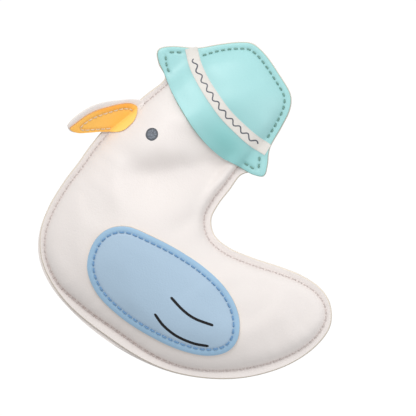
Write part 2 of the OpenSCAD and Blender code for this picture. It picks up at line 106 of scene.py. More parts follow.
def spline(stations, steps, closed=True):
    """Catmull-Rom curve through the stations, with this many steps in each span."""
    stations = np.asarray(stations, float)
    if closed:
        count = len(stations)
        spans = [stations[(np.arange(count) + k) % count] for k in (-1, 0, 1, 2)]
    else:
        stations = np.vstack([2 * stations[0] - stations[1], stations,
                              2 * stations[-1] - stations[-2]])
        spans = [stations[:-3], stations[1:-2], stations[2:-1], stations[3:]]
    before, start, end, after = (span[:, None, :] for span in spans)
    part = (np.arange(steps) / steps)[None, :, None]
    curve = (2 * start + part * (end - before)
             + part * part * (2 * before - 5 * start + 4 * end - after)
             + part ** 3 * (3 * start - before - 3 * end + after)) / 2
    curve = curve.reshape(-1, 2)
    return curve if closed else np.vstack([curve, stations[-2][None]])


def arclen(path, closed=False):
    ring = np.vstack([path, path[:1]]) if closed else path
    return np.concatenate([[0], np.cumsum(np.linalg.norm(np.diff(ring, axis=0), axis=1))])


def walk(path, where, closed=False):
    """Points at the given arc lengths along a path."""
    ring = np.vstack([path, path[:1]]) if closed else np.asarray(path)
    arc = arclen(path, closed)
    where = np.mod(where, arc[-1]) if closed else np.clip(where, 0, arc[-1])
    return np.stack([np.interp(where, arc, ring[:, 0]), np.interp(where, arc, ring[:, 1])], 1)


def even(path, step, closed=False):
    """The path with equal spacing, close to step."""
    total = arclen(path, closed)[-1]
    count = max(3, int(round(total / step)))
    if closed:
        return walk(path, np.arange(count) * total / count, True)
    return walk(path, np.linspace(0, total, count + 1))


def unit(vectors):
    return vectors / np.maximum(np.linalg.norm(vectors, axis=1), 1e-9)[:, None]


def rights(path, closed=False):
    """Unit vectors to the right of travel (inwards for the clockwise outline)."""
    if closed:
        along = unit(np.roll(path, -1, 0) - np.roll(path, 1, 0))
    else:
        along = unit(np.gradient(path, axis=0))
    return np.stack([along[:, 1], -along[:, 0]], 1)


def shifted(path, distance, closed=False):
    distance = np.broadcast_to(distance, (len(path),))
    return path + rights(path, closed) * distance[:, None]


def nearest(points, path, closed=False, batch=20000):
    """Distance of each point to the path, and the arc length at the nearest place."""
    starts = path if closed else path[:-1]
    ends = np.roll(path, -1, 0) if closed else path[1:]
    length = np.linalg.norm(ends - starts, axis=1)
    arc = np.concatenate([[0], np.cumsum(length)[:-1]])
    along = (ends - starts) / np.maximum(length, 1e-9)[:, None]
    best = np.full(len(points), 1e9)
    where = np.zeros(len(points))
    for i in range(0, len(points), batch):
        some = points[i:i + batch]
        dx = some[:, None, 0] - starts[None, :, 0]
        dz = some[:, None, 1] - starts[None, :, 1]
        run = np.clip(dx * along[None, :, 0] + dz * along[None, :, 1], 0, length[None])
        square = (dx - run * along[None, :, 0]) ** 2 + (dz - run * along[None, :, 1]) ** 2
        closest = square.argmin(1)
        row = np.arange(len(some))
        best[i:i + batch] = np.sqrt(square[row, closest])
        where[i:i + batch] = arc[closest] + run[row, closest]
    return best, where


def path_dist(points, path, closed=False):
    return nearest(points, path, closed)[0]


def inside(points, loop):
    """Even-odd test of points against a closed loop."""
    x, z = points[:, 0], points[:, 1]
    result = np.zeros(len(points), bool)
    for (ax, az), (bx, bz) in zip(loop, np.roll(loop, -1, 0)):
        if az == bz:
            continue
        result ^= ((az > z) != (bz > z)) & (x < (bx - ax) * (z - az) / (bz - az) + ax)
    return result


def smooth01(value):
    value = np.clip(value, 0, 1)
    return value * value * (3 - 2 * value)


def bell(value, width):
    return np.exp(-0.5 * (value / width) ** 2)


def oval(across, along):
    """Bell in two directions, each already divided by its width."""
    return np.exp(-0.5 * (across ** 2 + along ** 2))


# The plan is laid on the CAD: its cut edge is fitted to the boxes of the two white panels.
BODY_RAW = spline(TORSO + HEAD, 16)
CUT_RAW = spline(TORSO + HEAD_CUT, 16)
torso_lo, torso_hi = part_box("torso_front_panel")
head_lo, head_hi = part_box("head_front_panel")
CAD_LO = np.array([min(torso_lo.x, head_lo.x), min(torso_lo.z, head_lo.z)]) / MM
CAD_HI = np.array([max(torso_hi.x, head_hi.x), max(torso_hi.z, head_hi.z)]) / MM
RAW_LO, RAW_HI = CUT_RAW.min(0), CUT_RAW.max(0)


def fit(points):
    return (np.asarray(points, float) - RAW_LO) / (RAW_HI - RAW_LO) * (CAD_HI - CAD_LO) + CAD_LO


BODY = even(fit(BODY_RAW), 0.9, True)
CUT = even(fit(CUT_RAW), 0.7, True)
FACE_Y = -torso_lo.y / MM             # height of the white panel's outer face over the belly

# ------------------------------------------------------------------ height grid
GRID = 0.5
AXIS_X = np.arange(-92, 92 + GRID / 2, GRID)
AXIS_Z = np.arange(-8, 176 + GRID / 2, GRID)
GRID_X, GRID_Z = np.meshgrid(AXIS_X, AXIS_Z)
GRID_POINTS = np.stack([GRID_X.ravel(), GRID_Z.ravel()], 1)


def blur(grid, width):
    """Gaussian blur with its width in mm."""
    reach_cells = int(math.ceil(3 * width / GRID))
    kernel = np.exp(-0.5 * (np.arange(-reach_cells, reach_cells + 1) * GRID / width) ** 2)
    kernel /= kernel.sum()
    rows, cols = grid.shape
    for axis in (0, 1):
        pad = [(0, 0), (0, 0)]
        pad[axis] = (reach_cells, reach_cells)
        padded = np.pad(grid, pad, mode="edge")
        grid = sum(weight * (padded[i:i + rows, :] if axis == 0 else padded[:, i:i + cols])
                   for i, weight in enumerate(kernel))
    return grid


def cubic_weights(t):
    return (-0.5 * t ** 3 + t ** 2 - 0.5 * t, 1.5 * t ** 3 - 2.5 * t ** 2 + 1,
            -1.5 * t ** 3 + 2 * t ** 2 + 0.5 * t, 0.5 * t ** 3 - 0.5 * t ** 2)


def sample(grid, plan):
    """Bicubic sample of a grid at plan points."""
    col = np.clip((plan[:, 0] - AXIS_X[0]) / GRID, 1, len(AXIS_X) - 3.001)
    row = np.clip((plan[:, 1] - AXIS_Z[0]) / GRID, 1, len(AXIS_Z) - 3.001)
    col_at, row_at = col.astype(int), row.astype(int)
    weight_x, weight_z = cubic_weights(col - col_at), cubic_weights(row - row_at)
    total = 0
    for j in range(4):
        line = 0
        for i in range(4):
            line = line + weight_x[i] * grid[row_at + j - 1, col_at + i - 1]
        total = total + weight_z[j] * line
    return total


def rim_shift(points):
    """How far the seam moves inwards: less along the face, the back and the tail."""
    x, z = points[:, 0], points[:, 1]
    face = smooth01((-30 - x) / 22) * smooth01((z - 2) / 8) * smooth01((146 - z) / 14)
    low = smooth01((25 - z) / 15) * (1.9 * bell(x + 11, 14.0) - 0.7 * bell(x - 34, 12.0))
    back = smooth01((x + 12) / 16) * smooth01((z - 58) / 12) * smooth01((112 - z) / 8)
    tail = oval((x - 82) / 14.0, (z - 55) / 15.0)
    return -1.5 * face + low - 0.9 * back - 1.1 * tail


RIM_SHIFT = rim_shift(BODY)
BODY_ARC = arclen(BODY, True)
PERIMETER = BODY_ARC[-1]
grid_dist, grid_arc = nearest(GRID_POINTS, BODY, True)
# DIST is the distance inwards from the body outline, ARC the place along it.
DIST = np.where(inside(GRID_POINTS, BODY), grid_dist, -grid_dist).reshape(GRID_X.shape)
ARC = grid_arc.reshape(GRID_X.shape)
FOOT = FOOT_IN + np.interp(ARC, BODY_ARC, np.append(RIM_SHIFT, RIM_SHIFT[0]))
SWELL_IN = DIST - FOOT                # distance inwards from the foot of the swell


def pillow():
    """Stuffed bag sewn round the foot line: root of the solution of a Poisson equation.
    It is relaxed from a coarse grid to the full one."""
    last = None
    for step in (8, 4, 2, 1):
        mask = SWELL_IN[::step, ::step] > 0
        cell_area = (GRID * step) ** 2
        level = np.zeros(mask.shape)
        if last is not None:
            finer = np.repeat(np.repeat(last, 2, 0), 2, 1)
            rows, cols = level.shape
            level[:min(rows, finer.shape[0]), :min(cols, finer.shape[1])] = finer[:rows, :cols]
        level *= mask
        for _ in range(500 if step > 1 else 160):
            relaxed = np.zeros_like(level)
            relaxed[1:-1, 1:-1] = (level[2:, 1:-1] + level[:-2, 1:-1] + level[1:-1, 2:]
                                   + level[1:-1, :-2] + cell_area) / 4
            level = (relaxed * 0.95 + level * 0.05) * mask
        last = level
    return np.sqrt(np.maximum(last, 0))


DRAWN_SWELL = pillow()
# A little leaner at the seam than a round bag.
DRAWN_SWELL = (FACE_Y - 1.05) * (DRAWN_SWELL / DRAWN_SWELL.max()) ** 1.12


# ------------------------------------------------------------------ mesh building
def hex_points(lo, hi, spacing):
    rows = []
    for i, z in enumerate(np.arange(lo[1], hi[1], spacing * 0.866)):
        xs = np.arange(lo[0] + (0.5 * spacing if i % 2 else 0), hi[0], spacing)
        rows.append(np.stack([xs, np.full(len(xs), z)], 1))
    return np.vstack(rows)


def plan_mesh(loop, spacing, near=None, near_spacing=None):
    """Plan points and triangles over a closed loop: a lattice of the given spacing,
    and of near_spacing where near(points) is true."""
    lo, hi = loop.min(0), loop.max(0)
    lattice = hex_points(lo, hi, spacing)
    if near is not None:
        dense = hex_points(lo, hi, near_spacing)
        lattice = np.vstack([lattice[~near(lattice)], dense[near(dense)]])
    lattice = lattice[inside(lattice, loop)]
    lattice = lattice[path_dist(lattice, loop, True) > 0.45 * (near_spacing or spacing)]
    ring = list(range(len(loop)))
    area = 0.5 * np.sum(loop[:, 0] * np.roll(loop[:, 1], -1) - np.roll(loop[:, 0], -1) * loop[:, 1])
    if area < 0:
        ring = ring[::-1]
    verts = [Vector(point) for point in loop] + [Vector(point) for point in lattice]
    found, _, polys, *_ = delaunay_2d_cdt(verts, [], [ring], 1, 1e-5)
    plan = np.array([[point[0], point[1]] for point in found])
    tris = np.array([list(poly) for poly in polys if len(poly) == 3], int)
    first, second, third = (plan[tris[:, i]] for i in range(3))
    turn = ((second[:, 0] - first[:, 0]) * (third[:, 1] - first[:, 1])
            - (second[:, 1] - first[:, 1]) * (third[:, 0] - first[:, 0]))
    tris[turn < 0] = tris[turn < 0][:, ::-1]
    tris = tris[np.abs(turn) > 1e-7]
    used = np.unique(tris)
    renumber = np.full(len(plan), -1)
    renumber[used] = np.arange(len(used))
    return plan[used], renumber[tris]


def border(tris):
    """Directed edges that belong to one triangle only."""
    edges = np.vstack([tris[:, [0, 1]], tris[:, [1, 2]], tris[:, [2, 0]]]).tolist()
    have = {(i, j) for i, j in edges}
    return [(i, j) for i, j in edges if (j, i) not in have]


def on_border(tris, count):
    mask = np.zeros(count, bool)
    mask[[i for edge in border(tris) for i in edge]] = True
    return mask


def make(name, verts, faces, materials, slots=None, uv=None, attrs=None, smooth=True):
    """Mesh object from mm vertices. The UV map holds plan mm / 100."""
    mesh = bpy.data.meshes.new(name)
    mesh.from_pydata((np.asarray(verts) * MM).tolist(), [], faces)
    for material in materials:
        mesh.materials.append(material)
    if slots is not None:
        mesh.polygons.foreach_set("material_index", np.asarray(slots, np.int32))
    if smooth:
        mesh.polygons.foreach_set("use_smooth", np.ones(len(mesh.polygons), bool))
    if uv is not None:
        layer = mesh.uv_layers.new(name="plan")
        loops = np.zeros(len(mesh.loops), np.int32)
        mesh.loops.foreach_get("vertex_index", loops)
        layer.data.foreach_set("uv", (np.asarray(uv)[loops] / 100.0).astype(np.float32).ravel())
    for key, values in (attrs or {}).items():
        attribute = mesh.attributes.new(key, "FLOAT", "POINT")
        attribute.data.foreach_set("value", np.asarray(values, np.float32))
    mesh.update()
    mesh.validate()
    piece = bpy.data.objects.new(name, mesh)
    bpy.context.scene.collection.objects.link(piece)
    return piece


def register(piece, slot, *replaced, ride=None, blend=None):
    if ride:
        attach(piece, ride)
    if replaced:
        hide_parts(*replaced)
    if blend:
        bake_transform(piece)


def edge_out(tris, points, normals):
    """Outward direction in the surface at each border point."""
    along = np.zeros_like(points)
    for i, j in border(tris):
        step = points[j] - points[i]
        step = step / max(np.linalg.norm(step), 1e-9)
        along[i] += step
        along[j] += step
    return unit(np.cross(along, normals))


def shell(name, plan, tris, outer, inner, materials, attrs, through=()):
    """Outer face, inner face and cut edge. Attributes are zero on the inner face unless
    they are named in through."""
    count = len(plan)
    faces = tris.tolist() + (tris[:, ::-1] + count).tolist()
    slots = [0] * len(faces)
    rim = border(tris)
    # The rim has its own vertices, so that its corner stays crisp.
    rim_verts, rim_at = [], {}
    for edge in rim:
        for i in edge:
            if i not in rim_at:
                rim_at[i] = 2 * count + len(rim_verts)
                rim_verts += [outer[i], inner[i]]
    for i, j in rim:
        faces.append([rim_at[j], rim_at[i], rim_at[i] + 1, rim_at[j] + 1])
        slots.append(1)
    order = sorted(rim_at, key=rim_at.get)
    spread = {key: np.concatenate([values, values if key in through else values * 0,
                                   np.repeat(values[order], 2)])
              for key, values in attrs.items()}
    return make(name, np.vstack([outer, inner, np.array(rim_verts)]), faces, materials, slots,
                np.vstack([plan, plan, np.repeat(plan[order], 2, 0)]), spread)


def sheet_piece(name, plan, tris, outer, normals, thick, materials, side, attrs, slant=0.3):
    """A cut sheet laid by its outer face. Side -1 is mirrored to the rear."""
    inner = outer - normals * thick + edge_out(tris, outer, normals) * slant * min(1.0, thick)
    if side < 0:
        outer, inner = mirrored(outer), mirrored(inner)
        tris = tris[:, ::-1]
    return shell(name, plan, tris, outer, inner, materials, attrs)


def mirrored(verts):
    verts = verts.copy()
    verts[:, 1] *= -1
    return verts


def closed_bag(name, plan, tris, height, material):
    """Solid of the given half thickness on both sides of the middle plane."""
    count = len(plan)
    verts = np.vstack([np.stack([plan[:, 0], sign * height, plan[:, 1]], 1) for sign in (-1, 1)])
    faces = (tris.tolist() + (tris[:, ::-1] + count).tolist()
             + [[j, i, i + count, j + count] for i, j in border(tris)])
    return make(name, verts, faces, [material], uv=np.vstack([plan, plan]))


def front_normals(height, plan, step):
    """Normals, facing -Y, of a height function over plan points."""
    slope_x, slope_z = ((height(plan + delta) - height(plan - delta)) / (2 * step)
                        for delta in (np.array([step, 0]), np.array([0, step])))
    return unit(np.stack([-slope_x, -np.ones_like(slope_x), -slope_z], 1))


class Surface:
    """The broad front side of one layer as a height grid."""

    def __init__(self, grid):
        self.grid = grid

    def point(self, plan, lift):
        """Points raised along the normal by lift, and the normals."""
        normals = front_normals(lambda at: sample(self.grid, at), plan, 0.35)
        base = np.stack([plan[:, 0], -sample(self.grid, plan), plan[:, 1]], 1)
        return base + normals * np.broadcast_to(lift, (len(plan),))[:, None], normals


def circle_angles(count):
    return np.arange(count) * 2 * np.pi / count


def tubes(paths, radius, sides=6):
    """Vertices and faces of many short threads, each along an (n, 3) path."""
    rings, faces, base = [], [], 0
    angle = circle_angles(sides)
    for path in paths:
        along = unit(np.gradient(path, axis=0))
        steep = abs(along[len(along) // 2][1]) >= 0.8
        reference = np.array([1.0, 0, 0]) if steep else np.array([0.0, 1.0, 0.0])
        across = unit(np.cross(along, reference))
        third = np.cross(across, along)
        count = len(path)
        radii = np.full(count, radius)
        radii[[0, -1]] *= 0.75
        ring = path[:, None] + radii[:, None, None] * (
            np.cos(angle)[None, :, None] * across[:, None]
            + np.sin(angle)[None, :, None] * third[:, None])
        rings.append(ring.reshape(-1, 3))
        for i in range(count - 1):
            for j in range(sides):
                here, beside = base + i * sides + j, base + i * sides + (j + 1) % sides
                faces.append([here, beside, beside + sides, here + sides])
        faces.append([base + j for j in range(sides)][::-1])
        faces.append([base + (count - 1) * sides + j for j in range(sides)])
        base += count * sides
    return np.vstack(rings), faces


# ------------------------------------------------------------------ material helpers
def plug(tree, socket, value):
    """Links an output, or sets a value."""
    if isinstance(value, bpy.types.NodeSocket):
        tree.links.new(value, socket)
    else:
        socket.default_value = value


def adjust(tree, target, **settings):
    """Sets inputs (an underscore stands for a space) or else properties of a node."""
    for key, value in settings.items():
        label = key.replace("_", " ")
        if label in target.inputs:
            plug(tree, target.inputs[label], value)
        else:
            setattr(target, key, value)


def node(tree, kind, **settings):
    made = tree.nodes.new("ShaderNode" + kind)
    adjust(tree, made, **settings)
    return made


def new_material(name):
    material = bpy.data.materials.new(name)
    material.use_nodes = True
    tree = material.node_tree
    return material, tree, tree.nodes["Principled BSDF"]


def plan_coords(tree):
    """Plan coordinates in mm."""
    uv = node(tree, "UVMap", uv_map="plan").outputs["UV"]
    return node(tree, "Mapping", Scale=(100, 100, 100), Vector=uv).outputs["Vector"]


def object_coords(tree, scale):
    coords = node(tree, "TexCoord").outputs["Object"]
    return node(tree, "Mapping", Scale=(scale,) * 3, Vector=coords).outputs["Vector"]


def noise(tree, vector, **settings):
    return node(tree, "TexNoise", Vector=vector, **settings).outputs["Fac"]


def attribute_fac(tree, name):
    return node(tree, "Attribute", attribute_name=name).outputs["Fac"]


def math_node(tree, operation, *operands, clamp=False):
    made = node(tree, "Math", operation=operation, use_clamp=clamp)
    for i, operand in enumerate(operands):
        plug(tree, made.inputs[i], operand)
    return made.outputs[0]


def vector_math(tree, operation, first, second):
    made = node(tree, "VectorMath", operation=operation)
    plug(tree, made.inputs[0], first)
    plug(tree, made.inputs[1], second)
    return made


def mixed(tree, fac, first, second):
    """Colour mix of outputs or linear RGB triples."""
    made = node(tree, "Mix", data_type="RGBA")
    plug(tree, made.inputs[0], fac)
    for value, socket in ((first, made.inputs[6]), (second, made.inputs[7])):
        plug(tree, socket, (*value, 1) if isinstance(value, tuple) else value)
    return made.outputs[2]


def add_bump(tree, bsdf, height, strength, depth):
    """Bump with its depth in mm."""
    bump = node(tree, "Bump", Strength=strength, Distance=depth * MM, Height=height)
    tree.links.new(bump.outputs["Normal"], bsdf.inputs["Normal"])


def lin(rgb):
    """sRGB 0-255 to linear."""
    return tuple((c / 255) / 12.92 if c / 255 <= 0.04045 else ((c / 255 + 0.055) / 1.055) ** 2.4
                 for c in rgb)


def scaled(colour, factor, plus=0):
    return tuple(min(1, c * factor + plus) for c in colour)


# ------------------------------------------------------------------ materials
def coated_sheet(name, rgb, shade, rough, grain, depth, mottle=0.5, coat=0.0,
                 fade=None, dye_and_shade=None, painted_glow=0.0):
    """Soft coated sheet: pebbled grain, faint cloudiness, and mostly painted shade where its
    darkening attribute is set, in stitch grooves, needle holes and along seams. fade is (colour,
    start, end) along the second plan axis. The tint colour shows where the tint attribute is set; low
    on the hat's brim that is painted shade. The glow is emission, painted light that brightens the
    sheet."""
    material, tree, bsdf = new_material(name)
    plan = plan_coords(tree)
    big = noise(tree, plan, Scale=0.07, Detail=3.0, Roughness=0.55)
    middle = noise(tree, plan, Scale=0.8, Detail=4.0, Roughness=0.6)
    pebbles = node(tree, "TexVoronoi", Scale=1.0 / grain, feature="SMOOTH_F1", Smoothness=0.6)
    warp = node(tree, "TexNoise", Vector=plan, Scale=0.9, Detail=2.0)
    moved = vector_math(tree, "ADD", plan, warp.outputs["Color"])
    adjust(tree, pebbles, Vector=moved.outputs[0])
    pebble = pebbles.outputs["Distance"]
    fine = noise(tree, plan, Scale=2.6, Detail=2.0)
    cloud = math_node(tree, "MULTIPLY_ADD", big, 0.7 * mottle, 0.0)
    cloud = math_node(tree, "MULTIPLY_ADD", middle, 0.3 * mottle, cloud)
    colour = mixed(tree, cloud, lin(rgb), lin(shade))
    if fade:
        fade_rgb, fade_start, fade_end = fade
        split = node(tree, "SeparateXYZ", Vector=plan)
        ramp = node(tree, "MapRange", interpolation_type="SMOOTHSTEP", From_Min=fade_start,
                    From_Max=fade_end, Value=split.outputs["Y"])
        colour = mixed(tree, ramp.outputs["Result"], colour, lin(fade_rgb))
    if dye_and_shade:
        colour = mixed(tree, attribute_fac(tree, "dye_and_shade"), colour, lin(dye_and_shade))
    # reddish dark colour for the painted shade in stitch grooves, needle holes and seams
    shade_and_dirt_colour = tuple(c * factor for c, factor in zip(lin(shade), (0.62, 0.52, 0.50)))
    shade_and_dirt = math_node(tree, "MULTIPLY", attribute_fac(tree, "shade_and_dirt"), 1.0, clamp=True)
    colour = mixed(tree, shade_and_dirt, colour, shade_and_dirt_colour)
    # painted light: emission brightens the sheet beyond what the lamps give it
    if painted_glow:
        adjust(tree, bsdf, Emission_Color=colour, Emission_Strength=painted_glow)
    roughness = math_node(tree, "MULTIPLY_ADD", pebble, 0.16, rough - 0.05)
    adjust(tree, bsdf, Base_Color=colour, Roughness=roughness, IOR=1.46,
           Coat_Weight=coat, Coat_Roughness=0.3)
    height = math_node(tree, "MULTIPLY", pebble, -1.0)
    height = math_node(tree, "MULTIPLY_ADD", fine, 0.35, height)
    height = math_node(tree, "MULTIPLY_ADD", middle, 0.5, height)
    add_bump(tree, bsdf, height, strength=0.55, depth=depth)
    return material


def cut_edge(name, rgb):
    """The raw cut edge of a sheet: a fibrous backing under a thin coat."""
    material, tree, bsdf = new_material(name)
    fibres = noise(tree, plan_coords(tree), Scale=2.2, Detail=5.0, Roughness=0.7)
    colour = mixed(tree, fibres, lin(rgb), scaled(lin(rgb), 0.84))
    adjust(tree, bsdf, Base_Color=colour, Roughness=0.8)
    add_bump(tree, bsdf, fibres, strength=0.5, depth=0.15)
    return material


def thread_material(name, rgb):
    """Twisted sewing thread: fine slanted plies in object space."""
    material, tree, bsdf = new_material(name)
    coords = object_coords(tree, 1000)
    plies = node(tree, "TexWave", Scale=1.1, Distortion=1.5, Detail=1.0,
                 bands_direction="DIAGONAL", Vector=coords).outputs["Fac"]
    blotch = noise(tree, coords, Scale=0.5, Detail=2.0)
    colour = mixed(tree, plies, scaled(lin(rgb), 0.72), lin(rgb))
    blotch = math_node(tree, "MULTIPLY", blotch, 0.4)
    colour = mixed(tree, blotch, colour, scaled(lin(rgb), 1.12))
    adjust(tree, bsdf, Base_Color=colour, Roughness=0.6, Sheen_Weight=0.2)
    add_bump(tree, bsdf, plies, strength=0.6, depth=0.12)
    return material


def ink_material(name, rgb, speck_and_glint, rough=0.5):
    """Screen-printed ink over a grained sheet, with lighter specks; on the grey eye ink they are
    strong and are a painted reflection.
    """
    material, tree, bsdf = new_material(name)
    plan = plan_coords(tree)
    spots = noise(tree, plan, Scale=1.4, Detail=5.0, Roughness=0.65)
    grain = node(tree, "TexVoronoi", Scale=1.15, feature="SMOOTH_F1", Vector=plan)
    spots = math_node(tree, "SUBTRACT", spots, 0.42)
    spots = math_node(tree, "MULTIPLY", spots, 6.0 * speck_and_glint, clamp=True)
    colour = mixed(tree, spots, lin(rgb), scaled(lin(rgb), 2.6, plus=0.03))
    colour = mixed(tree, attribute_fac(tree, "shade_and_dirt"), colour, scaled(lin(rgb), 0.45))
    adjust(tree, bsdf, Base_Color=colour, Roughness=rough)
    add_bump(tree, bsdf, grain.outputs["Distance"], strength=0.4, depth=0.08)
    return material


def woven(name, rgb, count):
    """Plain weave at count threads a mm, turned a little in plan."""
    material, tree, bsdf = new_material(name)
    plan = plan_coords(tree)
    warp, weft = (node(tree, "TexWave", Scale=count / 3.0, Distortion=0.3, bands_direction=axis)
                  for axis in "XY")
    turned = node(tree, "Mapping", Rotation=(0, 0, 0.42), Vector=plan)
    for threads_in in (warp, weft):
        adjust(tree, threads_in, Vector=turned.outputs["Vector"])
    weave = math_node(tree, "MULTIPLY", warp.outputs["Fac"], weft.outputs["Fac"])
    cloud = noise(tree, plan, Scale=0.6, Detail=3.0)
    colour = mixed(tree, cloud, lin(rgb), scaled(lin(rgb), 0.9))
    weave_shade = math_node(tree, "MULTIPLY", weave, 0.25)
    colour = mixed(tree, weave_shade, colour, scaled(lin(rgb), 0.8))
    colour = mixed(tree, attribute_fac(tree, "shade_and_dirt"), colour, scaled(lin(rgb), 0.55))
    adjust(tree, bsdf, Base_Color=colour, Roughness=0.75, Sheen_Weight=0.25)
    add_bump(tree, bsdf, weave, strength=0.5, depth=0.1)
    return material


def grainy(name, rgb, other, size, rough, sheen=0.0):
    """Loose matter, such as fibre or sand, with grains of the given size in mm."""
    material, tree, bsdf = new_material(name)
    coords = object_coords(tree, 1000 / size)
    grains = node(tree, "TexVoronoi", Scale=1.0, Vector=coords)
    cloud = noise(tree, coords, Scale=0.7, Detail=6.0, Roughness=0.7)
    colour = mixed(tree, cloud, lin(rgb), lin(other))
    adjust(tree, bsdf, Base_Color=colour, Roughness=rough, Sheen_Weight=sheen)
    height = math_node(tree, "ADD", grains.outputs["Distance"], cloud)
    add_bump(tree, bsdf, height, strength=0.8, depth=0.3 * size)
    return material


WHITE = coated_sheet("white_sheet", (247, 241, 238), (240, 231, 227), rough=0.46, grain=0.95,
                     depth=0.10)
# The hat's tint colour is painted shade low on the brim and a deeper dye along its cut edge.
AQUA = coated_sheet("aqua_sheet", (180, 230, 231), (164, 221, 222), rough=0.36, grain=0.7,
                    depth=0.04, coat=0.15, mottle=0.7, dye_and_shade=(122, 200, 198))
# The fade colours the bent flap darker than the lobe on the cheek: partly two-tone dye, partly
# painted shade for the flap's tilt away from the light.
ORANGE = coated_sheet("orange_sheet", (255, 218, 122), (255, 210, 110), rough=0.42, grain=0.8,
                      depth=0.07, fade=((255, 194, 94), -4.2, -1.0), dye_and_shade=(255, 174, 70), painted_glow=0.12)
BLUE = coated_sheet("blue_sheet", (183, 208, 229), (172, 198, 221), rough=0.46, grain=0.8,
                    depth=0.10, dye_and_shade=(163, 200, 229))
CUT_EDGE = cut_edge("cut_edge", (252, 240, 220))
AQUA_EDGE = cut_edge("cut_edge_aqua", (176, 214, 200))
BLUE_EDGE = cut_edge("cut_edge_blue", (226, 208, 182))
ORANGE_EDGE = cut_edge("cut_edge_orange", (236, 176, 108))
TAPE = woven("band_tape", (243, 239, 233), count=2.2)
WHITE_THREAD = thread_material("white_thread", (232, 221, 217))
BLUE_THREAD = thread_material("blue_thread", (120, 170, 218))
GREEN_THREAD = thread_material("green_thread", (132, 178, 168))
PEACH_THREAD = thread_material("peach_thread", (255, 226, 190))
BLACK_INK = ink_material("black_ink", (10, 7, 11), speck_and_glint=0.03, rough=0.7)
# Its strong light specks are a painted reflection on the eyes.
GREY_INK = ink_material("grey_ink", (86, 92, 101), speck_and_glint=0.8)
WAVE_INK = ink_material("wave_ink", (84, 88, 98), speck_and_glint=0.2)
FIBRE = grainy("fibre", (244, 243, 240), (226, 225, 222), size=1.6, rough=0.95, sheen=0.5)
POUCH_CLOTH = woven("pouch_cloth", (214, 214, 218), count=1.6)
SAND = grainy("sand", (214, 190, 142), (176, 148, 104), size=0.7, rough=0.9)


# ------------------------------------------------------------------ cloth simulation of the body
def lattice_pillow(spacing, fullness):
    """A closed bag over the foot line, front and rear sharing their border."""
    loop = even(shifted(BODY, FOOT_IN + RIM_SHIFT, True), spacing * 0.8, True)
    plan, tris = plan_mesh(loop, spacing)
    is_rim = on_border(tris, len(plan))
    height = sample(DRAWN_SWELL, plan) * fullness
    height[is_rim] = 0
    rear_index = np.arange(len(plan))
    extra = np.flatnonzero(~is_rim)
    rear_index[extra] = len(plan) + np.arange(len(extra))
    verts = np.vstack([np.stack([plan[:, 0], -height, plan[:, 1]], 1),
                       np.stack([plan[extra, 0], height[extra], plan[extra, 1]], 1)])
    return plan, is_rim, verts, tris.tolist() + rear_index[tris][:, ::-1].tolist()


def spread_to_grid(plan, values, width):
    """Gaussian-weighted mean of scattered values, on the height grid."""
    step = 4
    coarse_x, coarse_z = GRID_X[::step, ::step], GRID_Z[::step, ::step]
    at = np.stack([coarse_x.ravel(), coarse_z.ravel()], 1)
    mean = np.zeros(len(at))
    for i in range(0, len(at), 4000):
        some = at[i:i + 4000]
        weight = np.exp(-((some[:, None, 0] - plan[None, :, 0]) ** 2
                          + (some[:, None, 1] - plan[None, :, 1]) ** 2) / (2 * width * width))
        mean[i:i + 4000] = (weight @ values) / np.maximum(weight.sum(1), 1e-6)
    rows, cols = GRID_X.shape
    full = np.repeat(np.repeat(mean.reshape(coarse_x.shape), step, 0), step, 1)[:rows, :cols]
    full = np.pad(full, [(0, rows - full.shape[0]), (0, cols - full.shape[1])], mode="edge")
    return blur(full, 1.1)


def simulate(frames=20):
    """Blows the bag up as cloth; returns the uneven part of its rise as a grid in mm."""
    plan, is_rim, verts, faces = lattice_pillow(spacing=3.6, fullness=0.9)
    bag = make("bag", verts, faces, [WHITE], smooth=False)
    group = bag.vertex_groups.new(name="pin")
    group.add([int(i) for i in np.flatnonzero(is_rim)], 1.0, "REPLACE")
    cloth = bag.modifiers.new("cloth", "CLOTH")
    settings = cloth.settings
    settings.quality = 8
    settings.mass = 0.2
    settings.tension_stiffness = settings.compression_stiffness = 12
    settings.shear_stiffness = 6
    settings.bending_stiffness = 0.6
    settings.tension_damping = settings.compression_damping = settings.shear_damping = 8
    settings.air_damping = 2
    settings.use_pressure = True
    settings.uniform_pressure_force = 4.0
    settings.shrink_min = -0.05
    settings.vertex_group_mass = "pin"
    settings.effector_weights.gravity = 0
    cloth.collision_settings.use_collision = False
    cloth.point_cache.frame_start = 1
    cloth.point_cache.frame_end = frames
    scene = bpy.context.scene
    scene.frame_start, scene.frame_end = 1, frames
    for number in range(1, frames + 1):
        scene.frame_set(number)
    evaluated = bag.evaluated_get(bpy.context.evaluated_depsgraph_get())
    mesh = evaluated.to_mesh()
    places = np.zeros(len(mesh.vertices) * 3)
    mesh.vertices.foreach_get("co", places)
    places = places.reshape(-1, 3) / MM
    evaluated.to_mesh_clear()
    scene.frame_set(1)
    bpy.data.objects.remove(bag)
    rise = -places[:len(plan), 1] - sample(DRAWN_SWELL, plan)
    rise[is_rim] = 0
    # The broad part of the rise is already in the drawn swell.
    uneven = spread_to_grid(plan, rise, 2.2) - spread_to_grid(plan, rise, 14.0)
    return np.clip(uneven, -1.3, 1.3)


# ------------------------------------------------------------------ relief of the body
def line_mark(start, end, width, depth, ends=0.25):
    """A soft valley along a line. A pair of widths is for above and below the line."""
    start, end = fit(start), fit(end)
    length = np.linalg.norm(end - start)
    along = (end - start) / length
    part = ((GRID_X - start[0]) * along[0] + (GRID_Z - start[1]) * along[1]) / length
    across = (GRID_X - start[0]) * along[1] - (GRID_Z - start[1]) * along[0]
    fade = smooth01((part + ends) / (2 * ends)) * smooth01((1 + ends - part) / (2 * ends))
    above, below = width if isinstance(width, tuple) else (width, width)
    return -depth * bell(across, np.where(across < 0, above, below)) * fade


